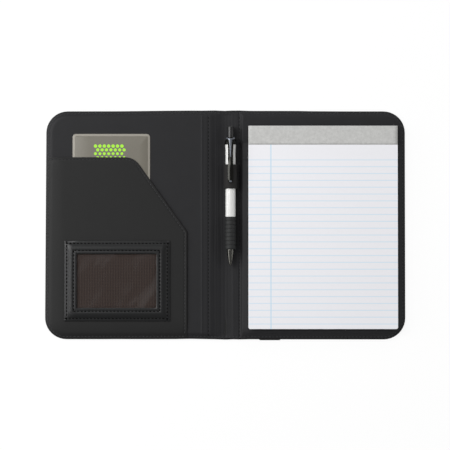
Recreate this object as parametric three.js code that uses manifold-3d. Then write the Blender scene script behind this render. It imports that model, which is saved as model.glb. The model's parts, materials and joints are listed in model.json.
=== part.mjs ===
// An open leather writing folio, seen from its inside: a padded back cover that holds a ruled pad
// in a sleeve, a soft spine that folds in three lines and carries a click pen in a loop, and a
// padded front cover with a diagonal pocket, a card in it and a framed window.
// Millimetres, +Z up. X runs across the spread, Y from its foot to its head.

import * as THREE from "three";
import { mergeVertices } from "three/addons/utils/BufferGeometryUtils.js";
import Module from "manifold-3d";

const wasm = await Module();
wasm.setup();

// The open spread
const spreadLength = 359;
const coverHeight = 228;
const cornerRadius = 21.5;
const cornerSteps = 7;

// Layers, from the table up
const leatherThick = 1.1;
const foamThick = 1.5;
const boardThick = 1.5;
const liningThick = 0.7;
const hemLift = 1.0;

// The sewn hem round each cover
const hemRound = 0.7;
const hemWidth = 3.0;
const liningInset = 0.9;
const boardInset = 6.0;
const slopeGap = 0.15;

// Fold lines of the spine, as distances from the middle of the spread
const backFoldX = 13.4;
const frontFoldX = -16.2;
const backBoardGap = 4.6;
const frontBoardGap = 7.8;
const foldFlange = 1.5;
const foldGap = 0.1;
const foldAngleEach = 60;
const foldSpareAngle = 2;

// The lap where the turned edge of the leather ends, at the foot of the back cover
const lapLength = 20;
const lapCentreX = 44.5;
const lapProud = 1.0;
const lapThick = 1.3;
const lapDepth = 2.0;

// The writing pad and its sleeve
const padWidth = 149.8;
const padHeight = 203.2;
const padCentreX = 97.7;
const padFootY = -104.0;
const backingThick = 0.9;
const sheetsThick = 4.4;
const tapeHeight = 18.7;
const tapeThick = 0.25;
const leafGap = 0.3;
const leafThick = 0.25;
const paperCorner = 2.0;
const padHeadShown = 17.0;
const sleeveThick = 0.7;
const sleeveRise = 1.2;
const slotClearance = 0.6;
const slideGap = 0.1;

// The diagonal pocket
const pocketTopY = 67.7;
const pocketRightX = -38.0;
const pocketShoulderX = -91.2;
const pocketElbowY = -6.8;
const pocketShoulderRadius = 18;
const pocketElbowRadius = 5;
const panelThick = 0.8;
const pocketRise = 1.0;
const pocketSeam = 7.0;

// The card in the pocket
const cardWidth = 77.4;
const cardHeight = 127;
const cardTopY = 91.1;
const cardCentreX = -113.9;
const cardThick = 0.8;
const cardCorner = 3.5;
const cardBevelWidth = 2.6;
const cardBevelDepth = 0.3;

// The window and its padded frame
const openingWidth = 81.3;
const openingHeight = 54.5;
const frameBand = 12.6;
const frameBandY = 13.25;
const frameSewing = 3.0;
const frameInnerSewingSetBack = 2.7;
const frameCentreX = -107.95;
const frameCentreY = -56.3;
const framePadHeight = 3.0;
const frameLip = 1.0;
const frameSeamHeight = 1.6;
const frameRecess = 3.6;
const fillerThick = 2.0;
const filmThick = 0.3;
const insertThick = 0.4;
const insertGap = 0.5;

// The click pen, along Y
const penX = 5.3;
const penTurns = 24;
const barrelRadius = 5.0;
const barrelBore = 3.9;
const barrelTopY = 85.4;
const barrelFlareRadius = 6.0;
const barrelMouth = 3.5;
const gripTopY = 7.9;
const gripLength = 32.5;
const gripRibs = 8;
const gripRibDepth = 0.45;
const coreRadius = 3.9;
const coreBore = 3.1;
const penGap = 0.1;
const coneLength = 15.7;
const coneRadius = 3.7;
const noseRadius = 1.15;
const noseBore = 0.8;
const noseBoreLength = 1.7;
const coneSpringBore = 2.45;
const coneSeatDepth = 8.8;
const coneNeckLength = 6.0;
const buttonRadius = 3.2;
const buttonLength = 11.8;
const buttonFlangeLength = 6.0;
const buttonStemLength = 6.0;
const buttonTravel = 5.5;
const clipRingThick = 1.5;
const clipRingRadius = 4.15;
const clipThick = 1.0;
const clipLength = 45.5;
const clipEndWidth = 5.0;
const clipWaistWidth = 4.0;
const clipDomeRadius = 1.2;
const refillRadius = 1.5;
const refillCollarRadius = 2.3;
const refillCollarLength = 1.2;
const tipRadius = 0.55;
const tipShoulderRadius = 1.2;
const tipLength = 6.4;
const tipSetBack = 1.2;
const springLength = 20;
const springCurls = 9;
const springRadius = 1.95;
const springWire = 0.22;
const curlSteps = 8;
const wireSides = 5;

// The pen loop
const loopThick = 1.0;
const loopClearance = 0.6;
const loopFootY = 35.9;
const loopHeight = 24.2;
const loopTailGap = 1.2;
const loopTurns = 24;

// Heights that follow from the layers
const hemTop = hemLift + leatherThick;
const hemSewn = hemTop + liningThick;
const boardTop = leatherThick + foamThick + boardThick;
const face = boardTop + liningThick;
const hingeZ = hemLift + (leatherThick + liningThick) / 2;
const middleFoldX = (backFoldX + frontFoldX) / 2;
const sleeveTop = face + sleeveRise + sleeveThick;
const panelTop = face + pocketRise + panelThick;
const penZ = hemSewn + loopThick + loopClearance + barrelRadius;

const halfHeight = coverHeight / 2;
const backCover = { fold: backFoldX, outer: spreadLength / 2, boardGap: backBoardGap };
const frontCover = { fold: frontFoldX, outer: -spreadLength / 2, boardGap: frontBoardGap };

const lookOf = {
  leather: { color: 0x2c2d31, roughness: 0.55 },
  foam: { color: 0x8c8c88, roughness: 0.95 },
  board: { color: 0x9a8464, roughness: 0.9 },
  lining: { color: 0x35363a, roughness: 0.6 },
  loop: { color: 0x221f1c, roughness: 0.7 },
  film: { color: 0xd8dde0, roughness: 0.1, transparent: true, opacity: 0.35 },
  insert: { color: 0x3d3633, roughness: 0.8 },
  card: { color: 0x868378, roughness: 0.45 },
  paper: { color: 0xeaeaee, roughness: 0.85 },
  tape: { color: 0xbababa, roughness: 0.8 },
  whitePlastic: { color: 0xf0f0ee, roughness: 0.25 },
  blackPlastic: { color: 0x141414, roughness: 0.25 },
  rubber: { color: 0x262626, roughness: 0.8 },
  chrome: { color: 0xb8babc, roughness: 0.15, metalness: 1 },
  gunmetal: { color: 0x4a4a4c, roughness: 0.25, metalness: 1 },
  steel: { color: 0x9a9c9e, roughness: 0.3, metalness: 1 },
  ink: { color: 0x6f7f96, roughness: 0.4 },
};

// Solids from outlines

// A closed outline at height z, anticlockwise from above. The radii go round from the lower left
// corner, and a radius of 0 keeps that corner sharp.
function outline(left, right, bottom, top, radii, z) {
  const corners = [
    { x: left, y: bottom, inX: 1, inY: 1, from: Math.PI },
    { x: right, y: bottom, inX: -1, inY: 1, from: 1.5 * Math.PI },
    { x: right, y: top, inX: -1, inY: -1, from: 0 },
    { x: left, y: top, inX: 1, inY: -1, from: 0.5 * Math.PI },
  ];
  return corners.flatMap((corner, i) => {
    const radius = radii[i];
    const steps = radius > 0 ? cornerSteps : 0;
    return Array.from({ length: steps + 1 }, (_, k) => {
      const angle = corner.from + (steps ? k / steps : 0) * 0.5 * Math.PI;
      const x = corner.x + radius * (corner.inX + Math.cos(angle));
      const y = corner.y + radius * (corner.inY + Math.sin(angle));
      return new THREE.Vector3(x, y, z);
    });
  });
}

function capFaces(points) {
  return THREE.ShapeUtils.triangulateShape(points.map((p) => new THREE.Vector2(p.x, p.y)), []);
}

// Joins matching outlines into one closed body. The ends are capped, or with ring set the last
// outline joins the first.
function loft(outlines, ring = false) {
  const count = outlines[0].length;
  const index = [];
  const bands = ring ? outlines.length : outlines.length - 1;
  for (let k = 0; k < bands; k += 1) {
    const a = k * count;
    const b = ((k + 1) % outlines.length) * count;
    for (let i = 0; i < count; i += 1) {
      const j = (i + 1) % count;
      index.push(a + i, a + j, b + j, a + i, b + j, b + i);
    }
  }
  if (!ring) {
    const last = (outlines.length - 1) * count;
    capFaces(outlines[0]).forEach(([a, b, c]) => index.push(a, c, b));
    capFaces(outlines.at(-1)).forEach(([a, b, c]) => index.push(last + a, last + b, last + c));
  }
  const geometry = new THREE.BufferGeometry().setFromPoints(outlines.flat());
  geometry.setIndex(index);
  return geometry;
}

// A plan outline whose corners, given as [x, y, radius], are rounded by arcs.
function roundedShape(corners) {
  const shape = new THREE.Shape();
  corners.forEach(([x, y, radius], i) => {
    const corner = new THREE.Vector2(x, y);
    if (radius === 0) {
      if (i === 0) shape.moveTo(x, y);
      else shape.lineTo(x, y);
      return;
    }
    const before = corners[(i + corners.length - 1) % corners.length];
    const after = corners[(i + 1) % corners.length];
    const back = new THREE.Vector2(before[0] - x, before[1] - y).normalize();
    const ahead = new THREE.Vector2(after[0] - x, after[1] - y).normalize();
    const half = Math.acos(THREE.MathUtils.clamp(back.dot(ahead), -1, 1)) / 2;
    const centre = back.clone().add(ahead).setLength(radius / Math.sin(half)).add(corner);
    const start = back.multiplyScalar(radius / Math.tan(half)).add(corner).sub(centre);
    const end = ahead.multiplyScalar(radius / Math.tan(half)).add(corner).sub(centre);
    const from = start.angle();
    const clockwise = start.cross(end) < 0;
    if (i === 0) shape.moveTo(centre.x + start.x, centre.y + start.y);
    shape.absarc(centre.x, centre.y, radius, from, end.angle(), clockwise);
  });
  shape.closePath();
  return shape;
}

// A plate of one plan shape between two heights.
function plate(shape, low, high, curveSegments = cornerSteps) {
  const depth = high - low;
  return new THREE.ExtrudeGeometry(shape, { depth, bevelEnabled: false, curveSegments }).translate(0, 0, low);
}

// A block between two corners.
function block(left, right, bottom, top, low, high) {
  const geometry = new THREE.BoxGeometry(right - left, top - bottom, high - low);
  return geometry.translate((left + right) / 2, (bottom + top) / 2, (low + high) / 2);
}

// A section in the plane of Y and Z, carried along X from left to right.
function alongX(section, left, right) {
  const shape = new THREE.Shape(section.map(([y, z]) => new THREE.Vector2(y, z)));
  const geometry = new THREE.ExtrudeGeometry(shape, { depth: right - left, bevelEnabled: false });
  return geometry.rotateX(Math.PI / 2).rotateZ(Math.PI / 2).translate(left, 0, 0);
}

// A profile of [radius, y] turned about the pen's axis, from the foot up its outside.
function turned(profile, turns = penTurns) {
  return new THREE.LatheGeometry(profile.map(([radius, y]) => new THREE.Vector2(radius, y)), turns);
}

function toSolid(geometry) {
  const bare = geometry.clone();
  bare.deleteAttribute("normal");
  bare.deleteAttribute("uv");
  const merged = mergeVertices(bare, 1e-4);
  return new wasm.Manifold(new wasm.Mesh({
    numProp: 3,
    vertProperties: new Float32Array(merged.attributes.position.array),
    triVerts: new Uint32Array(merged.index.array),
  }));
}

function toGeometry(solid) {
  const mesh = solid.getMesh();
  const geometry = new THREE.BufferGeometry();
  geometry.setAttribute("position", new THREE.BufferAttribute(new Float32Array(mesh.vertProperties), 3));
  geometry.setIndex(Array.from(mesh.triVerts));
  return geometry;
}

// Covers

// How far a body keeps from its fold line at height z, so that it clears its neighbour when folded.
function foldClearance(z) {
  const half = THREE.MathUtils.degToRad(foldAngleEach / 2 + foldSpareAngle);
  return foldGap / 2 + Math.max(z - hingeZ, 0) * Math.tan(half);
}

// The outline of a cover, drawn in by inset at its three free edges and by foldInset at its fold.
function coverOutline(cover, inset, foldInset, z) {
  const radius = Math.max(cornerRadius - inset, hemRound);
  const bottom = -halfHeight + inset;
  if (cover.outer > cover.fold) {
    return outline(cover.fold + foldInset, cover.outer - inset, bottom, -bottom, [0, radius, radius, 0], z);
  }
  return outline(cover.outer + inset, cover.fold - foldInset, bottom, -bottom, [radius, 0, 0, radius], z);
}

function coverBody(cover, stations) {
  return loft(stations.map(([inset, foldInset, z]) => coverOutline(cover, inset, foldInset, z)));
}

// The outer leather: flat under the board, raised at the hem, with a rounded turned edge.
function coverLeather(cover) {
  return coverBody(cover, [
    [boardInset + 1, cover.boardGap + 0.4, 0],
    [hemWidth + 0.4, foldFlange, hemLift],
    [hemRound, foldGap / 2, hemLift],
    [0, foldGap / 2, hemLift + 0.35 * leatherThick],
    [0, foldGap / 2, hemLift + 0.65 * leatherThick],
    [hemRound, foldClearance(hemTop), hemTop],
    [hemWidth, foldFlange, hemTop],
    [boardInset + 0.6, cover.boardGap, leatherThick],
  ]);
}

function coverFoam(cover) {
  return coverBody(cover, [
    [boardInset + 1.2, cover.boardGap + 0.8, leatherThick],
    [boardInset, cover.boardGap, leatherThick + foamThick],
  ]);
}

function coverBoard(cover) {
  return coverBody(cover, [
    [boardInset, cover.boardGap, leatherThick + foamThick],
    [boardInset, cover.boardGap, boardTop],
  ]);
}

// The lining: sewn to the hem, rising over the edge of the board.
function coverLining(cover) {
  return coverBody(cover, [
    [boardInset - 0.3, cover.boardGap - 0.3, boardTop],
    [hemWidth + 0.3, foldFlange + 0.3, hemTop],
    [liningInset, foldClearance(hemTop), hemTop],
    [liningInset, foldClearance(hemSewn), hemSewn],
    [hemWidth - 0.2, foldFlange - 0.3, hemSewn],
    [boardInset - 0.8, cover.boardGap - 0.8, face],
  ]);
}

// A sheet sewn over the lining at the hem, whose top stands at height top over the board.
function overSheet(cover, thick, top) {
  const sewn = hemSewn + thick;
  return coverBody(cover, [
    [boardInset - 0.8 - slopeGap, cover.boardGap - 0.8 - slopeGap, face],
    [hemWidth - 0.2 - slopeGap, foldFlange - 0.3 - slopeGap, hemSewn],
    [liningInset, foldClearance(sewn), hemSewn],
    [liningInset, foldClearance(sewn), sewn],
    [hemWidth - 0.7, foldClearance(sewn) + 0.2, sewn],
    [boardInset - 0.4, cover.boardGap + 1.2, top],
  ]);
}

// The leather of the back cover, with the lap at its foot where the turned edge ends.
function backLeather() {
  const middle = hemLift + leatherThick / 2;
  const foot = -halfHeight - lapProud;
  const lap = roundedShape([
    [foot, middle - lapThick / 2, lapThick / 3],
    [foot + lapDepth, middle - lapThick / 2, 0],
    [foot + lapDepth, middle + lapThick / 2, 0],
    [foot, middle + lapThick / 2, lapThick / 3],
  ]);
  const section = lap.getPoints(4).map((p) => [p.x, Math.min(p.y, hemTop)]);
  const lapBody = alongX(section, lapCentreX - lapLength / 2, lapCentreX + lapLength / 2);
  return toGeometry(toSolid(coverLeather(backCover)).add(toSolid(lapBody)));
}

// The outline of one half of the soft spine, between two fold lines.
function spineOutline(fromX, toX, inset, z) {
  const end = halfHeight - inset;
  return outline(fromX + foldClearance(z), toX - foldClearance(z), -end, end, [0, 0, 0, 0], z);
}

function spineLeather(fromX, toX) {
  return loft([
    spineOutline(fromX, toX, hemRound, hemLift),
    spineOutline(fromX, toX, 0, hemLift + 0.35 * leatherThick),
    spineOutline(fromX, toX, 0, hemLift + 0.65 * leatherThick),
    spineOutline(fromX, toX, hemRound, hemTop),
  ]);
}

function spineLining(fromX, toX) {
  return loft([
    spineOutline(fromX, toX, liningInset, hemTop),
    spineOutline(fromX, toX, liningInset, hemSewn),
  ]);
}

// Pad and sleeve

const padLeft = padCentreX - padWidth / 2;
const padRight = padCentreX + padWidth / 2;
const padTopY = padFootY + padHeight;
const backingLow = face + slideGap;
const backingHigh = backingLow + backingThick;
const sheetsLow = sleeveTop + slideGap;
const sheetsHigh = sheetsLow + sheetsThick;
const tapeFootY = padTopY - tapeHeight;
const leafTop = sheetsHigh + leafThick;
const sleeveTopY = padTopY - padHeadShown;
const bindingY = sleeveTopY + slotClearance;

// The sleeve: a sheet sewn down on three sides, with a slot that takes the pad's backing.
function padSleeve() {
  const beyond = halfHeight + cornerRadius;
  const sheet = toSolid(overSheet(backCover, sleeveThick, sleeveTop));
  const kept = toSolid(block(backFoldX, spreadLength, -beyond, sleeveTopY, 0, sleeveTop + 1));
  const slot = toSolid(block(
    padLeft - slotClearance,
    padRight + slotClearance,
    padFootY - slotClearance,
    beyond,
    face - 1,
    face + sleeveRise,
  ));
  return toGeometry(sheet.intersect(kept).subtract(slot));
}

function paperShape(bottom, top, corner) {
  return roundedShape([
    [padLeft, bottom, corner],
    [padRight, bottom, corner],
    [padRight, top, 0],
    [padLeft, top, 0],
  ]);
}

function padBacking() {
  return plate(paperShape(padFootY, padTopY, paperCorner), backingLow, backingHigh);
}

// The block of sheets, glued to the backing at its head and lying over the sleeve below that.
function padSheets() {
  const whole = toSolid(plate(paperShape(padFootY, padTopY, paperCorner), backingHigh, sheetsHigh));
  const under = toSolid(block(
    padLeft - 1, padRight + 1, padFootY - 1, bindingY, backingHigh - 1, sheetsLow,
  ));
  return toGeometry(whole.subtract(under));
}

// The binding tape over the head of the pad.
function padHeaderTape() {
  return alongX([
    [tapeFootY, sheetsHigh],
    [padTopY, sheetsHigh],
    [padTopY, backingLow],
    [padTopY + tapeThick, backingLow],
    [padTopY + tapeThick, sheetsHigh + tapeThick],
    [tapeFootY, sheetsHigh + tapeThick],
  ], padLeft, padRight);
}

function padTopLeaf() {
  return plate(paperShape(padFootY, tapeFootY - leafGap, paperCorner), sheetsHigh, leafTop);
}

// Pocket, card and window

// The pocket panel: the cover's shape cut by the diagonal edge, open at the top and at the right.
function pocketPanel() {
  const far = -spreadLength;
  const low = -coverHeight;
  const edge = roundedShape([
    [far, low, 0],
    [pocketRightX, low, 0],
    [pocketRightX, pocketElbowY, pocketElbowRadius],
    [pocketShoulderX, pocketTopY, pocketShoulderRadius],
    [far, pocketTopY, 0],
  ]);
  const sheet = toSolid(overSheet(frontCover, panelThick, panelTop));
  const kept = toSolid(plate(edge, 0, panelTop + 1));
  const space = toSolid(block(
    -spreadLength / 2 + pocketSeam,
    0,
    -halfHeight + pocketSeam,
    halfHeight,
    face - 1,
    face + pocketRise,
  ));
  return toGeometry(sheet.intersect(kept).subtract(space));
}

// The card in the pocket, with a bevelled rim round its face.
function pocketCard() {
  const low = face + slideGap;
  const ring = (inset, z) => {
    const radius = cardCorner - Math.min(inset, cardCorner - 1);
    return outline(
      cardCentreX - cardWidth / 2 + inset,
      cardCentreX + cardWidth / 2 - inset,
      cardTopY - cardHeight + inset,
      cardTopY - inset,
      [radius, radius, radius, radius],
      z,
    );
  };
  return loft([
    ring(0, low),
    ring(0, low + cardThick - cardBevelDepth),
    ring(cardBevelWidth, low + cardThick),
  ]);
}

const frameWidth = openingWidth + 2 * frameBand;
const frameHeight = openingHeight + 2 * frameBandY;
const frameInnerSewing = frameBand - frameInnerSewingSetBack;
const fillerStart = frameSewing + 0.9;
const fillerEnd = frameBand - frameRecess - 0.6;
const recessWidth = openingWidth + 2 * frameRecess;
const recessHeight = openingHeight + 2 * frameRecess * (frameBandY / frameBand);
const insertWidth = recessWidth - 2 * insertGap;
const insertHeight = recessHeight - 2 * insertGap;

// A mitred ring round the window. The section is given as [inset, height] from the outer edge.
function windowRing(section) {
  return loft(section.map(([inset, height]) => outline(
    frameCentreX - frameWidth / 2 + inset,
    frameCentreX + frameWidth / 2 - inset,
    frameCentreY - frameHeight / 2 + inset * (frameBandY / frameBand),
    frameCentreY + frameHeight / 2 - inset * (frameBandY / frameBand),
    [0, 0, 0, 0],
    panelTop + height,
  )), true);
}

// The way out for the insert, through the upper side of the frame.
function insertWay() {
  return toSolid(block(
    frameCentreX - recessWidth / 2,
    frameCentreX + recessWidth / 2,
    frameCentreY,
    frameCentreY + frameHeight,
    panelTop - 1,
    panelTop + slideGap + insertThick + slideGap,
  ));
}

// The leather of the frame: a padded band between two sewn lines, hollow underneath.
function windowFrame() {
  const middle = (fillerStart + fillerEnd) / 2;
  const skin = windowRing([
    [fillerStart - 0.2, 0],
    [0, 0],
    [0, frameSeamHeight - 0.7],
    [0.5, frameSeamHeight - 0.2],
    [frameSewing - 0.6, frameSeamHeight],
    [frameSewing, frameSeamHeight - 0.4],
    [frameSewing + 0.6, frameSeamHeight + 0.1],
    [fillerStart + 0.8, framePadHeight - 0.3],
    [middle, framePadHeight],
    [fillerEnd - 0.6, framePadHeight - 0.2],
    [frameInnerSewing - 0.7, frameSeamHeight + 0.4],
    [frameInnerSewing, frameSeamHeight - 0.1],
    [frameInnerSewing + 0.6, frameSeamHeight + 0.3],
    [frameBand - 0.6, frameSeamHeight + 0.2],
    [frameBand, frameSeamHeight - 0.2],
    [frameBand, frameLip],
    [frameBand - frameRecess, frameLip],
    [frameBand - frameRecess, 0],
    [fillerEnd + 0.2, 0],
    [fillerEnd - 0.2, fillerThick + slideGap],
    [fillerStart + 0.8, fillerThick + slideGap],
  ]);
  return toGeometry(toSolid(skin).subtract(insertWay()));
}

function windowFiller() {
  const ring = windowRing([
    [fillerEnd - slideGap, 0],
    [fillerStart + slideGap, 0],
    [fillerStart + 1.0, fillerThick],
    [fillerEnd - 0.5, fillerThick],
  ]);
  return toGeometry(toSolid(ring).subtract(insertWay()));
}

function windowFilm() {
  const width = recessWidth - insertGap;
  const height = recessHeight - insertGap;
  return block(
    frameCentreX - width / 2,
    frameCentreX + width / 2,
    frameCentreY - height / 2,
    frameCentreY + height / 2,
    panelTop + frameLip - filmThick,
    panelTop + frameLip,
  );
}

function windowInsert() {
  return block(
    frameCentreX - insertWidth / 2,
    frameCentreX + insertWidth / 2,
    frameCentreY - insertHeight / 2,
    frameCentreY + insertHeight / 2,
    panelTop + slideGap,
    panelTop + slideGap + insertThick,
  );
}

// Pen, about its own axis: these solids are placed by the pen group

const gripFootY = gripTopY - gripLength;
const noseY = gripFootY - coneLength;
const coneSeatY = gripFootY - coneSeatDepth;
const tipEndY = noseY + tipSetBack;
const tipShoulderY = tipEndY + tipLength;
const refillFootY = coneSeatY + buttonTravel + penGap;
const collarFootY = coneSeatY + springLength;
const clipUnder = barrelRadius + loopClearance + loopThick + penGap + 0.05;
const flangeTopY = barrelTopY - 2.3;
const buttonFootY = flangeTopY - buttonFlangeLength - buttonStemLength;

// The barrel: a hollow white body with a flared mouth, and a thin core that carries the grip.
function penBarrel() {
  return turned([
    [coreBore, gripFootY + 0.2],
    [coreRadius, gripFootY + 0.2],
    [coreRadius, gripTopY],
    [barrelRadius, gripTopY],
    [barrelRadius, barrelTopY - 14],
    [barrelRadius + 0.3, barrelTopY - 7],
    [barrelFlareRadius, barrelTopY - 3],
    [barrelFlareRadius, barrelTopY - 1.2],
    [barrelFlareRadius - 0.7, barrelTopY],
    [barrelMouth, barrelTopY],
    [barrelMouth, barrelTopY - 2],
    [barrelBore, barrelTopY - 2],
    [barrelBore, gripTopY + 3],
    [coreBore, gripTopY + 2],
    [coreBore, gripFootY + 0.2],
  ]);
}

// The rubber grip: a sleeve with round ribs, made by repeating one rib.
function penGrip() {
  const pitch = gripLength / gripRibs;
  const outside = [];
  for (let rib = 0; rib < gripRibs; rib += 1) {
    const foot = gripFootY + rib * pitch;
    outside.push([barrelRadius - 0.05, foot + 0.12 * pitch]);
    outside.push([barrelRadius - 0.05 + gripRibDepth, foot + 0.4 * pitch]);
    outside.push([barrelRadius - 0.05 + gripRibDepth, foot + 0.7 * pitch]);
  }
  return turned([
    [coreRadius + penGap, gripFootY + penGap],
    [barrelRadius - 0.3, gripFootY + penGap],
    ...outside,
    [barrelRadius - 0.3, gripTopY - penGap],
    [coreRadius + penGap, gripTopY - penGap],
    [coreRadius + penGap, gripFootY + penGap],
  ]);
}

// The metal cone: a convex taper with a neck in the core, a spring seat and a fine nose bore.
function penCone() {
  const bulge = [0.25, 0.5, 0.75].map((t) => {
    const swell = 1.1 * Math.sin(Math.PI * t);
    return [THREE.MathUtils.lerp(noseRadius, coneRadius, t) + swell * 0.45, noseY + t * coneLength];
  });
  const seatBore = tipShoulderRadius + 0.25;
  return turned([
    [noseBore, noseY],
    [noseRadius, noseY],
    ...bulge,
    [coneRadius, gripFootY],
    [coreBore - penGap, gripFootY],
    [coreBore - penGap, gripFootY + coneNeckLength],
    [coneSpringBore, gripFootY + coneNeckLength],
    [coneSpringBore, coneSeatY],
    [seatBore, coneSeatY],
    [seatBore, noseY + noseBoreLength + 0.6],
    [noseBore, noseY + noseBoreLength],
    [noseBore, noseY],
  ]);
}

// The push button, held in by a flange under the mouth, with a stem that drives the refill.
function penButton() {
  const top = barrelTopY + clipRingThick + buttonLength;
  const flangeRadius = barrelBore - 0.3;
  return turned([
    [0, buttonFootY],
    [refillRadius, buttonFootY],
    [refillRadius, buttonFootY + buttonStemLength],
    [flangeRadius, buttonFootY + buttonStemLength],
    [flangeRadius, flangeTopY],
    [buttonRadius, flangeTopY],
    [buttonRadius, top - 0.8],
    [buttonRadius - 0.25, top - 0.25],
    [buttonRadius - 0.8, top],
    [0, top],
  ]);
}

// The clip: a ring on the mouth of the barrel, a bridge and a springy bar over the loop.
function penClip() {
  const ringTop = barrelTopY + clipRingThick;
  const barEnd = ringTop - clipLength;
  const ring = turned([
    [barrelMouth + 0.1, barrelTopY],
    [clipRingRadius, barrelTopY],
    [clipRingRadius, ringTop],
    [barrelMouth + 0.1, ringTop],
    [barrelMouth + 0.1, barrelTopY],
  ]);
  const bridgeLow = barrelMouth + 0.2;
  const barTop = clipUnder + clipThick;
  const bridge = block(-clipEndWidth / 2, clipEndWidth / 2, barrelTopY, ringTop, bridgeLow, barTop);
  const bar = plate(roundedShape([
    [clipEndWidth / 2, barEnd, clipEndWidth / 2 - 0.1],
    [clipEndWidth / 2, barEnd + 16, 0],
    [clipWaistWidth / 2, barEnd + 19, 0],
    [clipEndWidth / 2 + 0.5, ringTop - 6, 0],
    [clipRingRadius, ringTop, 0.5],
    [-clipRingRadius, ringTop, 0.5],
    [-clipEndWidth / 2 - 0.5, ringTop - 6, 0],
    [-clipWaistWidth / 2, barEnd + 19, 0],
    [-clipEndWidth / 2, barEnd + 16, 0],
    [-clipEndWidth / 2, barEnd, clipEndWidth / 2 - 0.1],
  ]), clipUnder, barTop);
  const dome = new THREE.SphereGeometry(clipDomeRadius, 12, 8)
    .translate(0, barEnd + clipEndWidth / 2, barTop - 0.6 * clipDomeRadius);
  const over = block(-clipEndWidth, clipEndWidth, barEnd, ringTop, clipUnder + 0.2, 2 * barTop);
  const flatDome = toSolid(dome).intersect(toSolid(over));
  return toGeometry(toSolid(ring).add(toSolid(bridge)).add(toSolid(bar)).add(flatDome));
}

// The refill's ink tube, with the collar that the spring pushes on.
function penRefillTube() {
  return turned([
    [0, refillFootY],
    [refillRadius, refillFootY],
    [refillRadius, collarFootY],
    [refillCollarRadius, collarFootY],
    [refillCollarRadius, collarFootY + refillCollarLength],
    [refillRadius, collarFootY + refillCollarLength],
    [refillRadius, buttonFootY - penGap],
    [0, buttonFootY - penGap],
  ], 12);
}

function penRefillTip() {
  return turned([
    [0, tipEndY],
    [tipRadius * 0.5, tipEndY],
    [tipRadius, tipEndY + 1.2],
    [tipRadius, tipShoulderY],
    [tipShoulderRadius, tipShoulderY + 0.6],
    [tipShoulderRadius, refillFootY],
    [0, refillFootY],
  ], 12);
}

// The coil between the cone's seat and the refill's collar, as one unbroken helical tube.
function penSpring() {
  const low = coneSeatY + springWire + penGap;
  const high = collarFootY - springWire - penGap;
  const steps = springCurls * curlSteps;
  const rise = high - low;
  const rings = [];
  const centres = [];
  for (let step = 0; step <= steps; step += 1) {
    const t = step / steps;
    const angle = t * springCurls * 2 * Math.PI;
    const outward = new THREE.Vector3(Math.cos(angle), 0, Math.sin(angle));
    const centre = outward.clone().multiplyScalar(springRadius).setY(low + t * rise);
    centres.push(centre);
    const points = [];
    for (let side = 0; side < wireSides; side += 1) {
      const turn = (side / wireSides) * 2 * Math.PI;
      points.push(centre.clone()
        .addScaledVector(outward, springWire * Math.cos(turn))
        .add(new THREE.Vector3(0, springWire * Math.sin(turn), 0)));
    }
    rings.push(points);
  }
  printSelfGap(centres);
  return tubeOf(rings);
}

// Prints the least gap between the wire and itself, measured between points half a curl apart or more.
function printSelfGap(centres) {
  let least = Infinity;
  centres.forEach((centre, i) => {
    centres.slice(i + curlSteps / 2).forEach((other) => {
      least = Math.min(least, centre.distanceTo(other));
    });
  });
  console.log(`pen_spring least gap to itself: ${(least - 2 * springWire).toFixed(2)} mm`);
}

// A tube through rings of points in space, closed by a fan at each end.
function tubeOf(rings) {
  const count = rings[0].length;
  const index = [];
  for (let k = 0; k < rings.length - 1; k += 1) {
    for (let i = 0; i < count; i += 1) {
      const j = (i + 1) % count;
      const a = k * count;
      const b = a + count;
      index.push(a + i, a + j, b + j, a + i, b + j, b + i);
    }
  }
  const last = (rings.length - 1) * count;
  for (let i = 1; i < count - 1; i += 1) {
    index.push(0, i + 1, i);
    index.push(last, last + i, last + i + 1);
  }
  const geometry = new THREE.BufferGeometry().setFromPoints(rings.flat());
  geometry.setIndex(index);
  return geometry;
}

// The loop: a strip of leather bent round the pen, its ends lying flat towards the back seam.
function penLoop() {
  const inner = barrelRadius + loopClearance;
  const outer = inner + loopThick;
  const tailEnd = backFoldX - loopTailGap - penX;
  const tailTop = 2 * loopThick - outer;
  const meet = Math.asin(tailTop / outer);
  const shape = new THREE.Shape();
  shape.moveTo(0, -outer);
  shape.lineTo(tailEnd, -outer);
  shape.lineTo(tailEnd, tailTop);
  shape.lineTo(outer * Math.cos(meet), tailTop);
  shape.absarc(0, 0, outer, meet, 1.5 * Math.PI, false);
  const hole = new THREE.Path();
  hole.absarc(0, 0, inner, 0, 2 * Math.PI, true);
  shape.holes.push(hole);
  const geometry = new THREE.ExtrudeGeometry(shape, {
    depth: loopHeight,
    bevelEnabled: false,
    curveSegments: loopTurns,
  });
  return geometry.rotateX(Math.PI / 2).translate(penX, loopFootY + loopHeight, penZ);
}

// The assembly

function part(name, geometry, look) {
  const mesh = new THREE.Mesh(geometry, new THREE.MeshStandardMaterial(lookOf[look]));
  mesh.name = name;
  return mesh;
}

const pen = new THREE.Group();
pen.position.set(penX, 0, penZ);
pen.add(
  part("pen_barrel", penBarrel(), "whitePlastic"),
  part("pen_grip", penGrip(), "rubber"),
  part("pen_cone", penCone(), "gunmetal"),
  part("pen_button", penButton(), "blackPlastic"),
  part("pen_clip", penClip(), "chrome"),
  part("pen_refill_tube", penRefillTube(), "ink"),
  part("pen_refill_tip", penRefillTip(), "steel"),
  part("pen_spring", penSpring(), "steel"),
);

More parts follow.
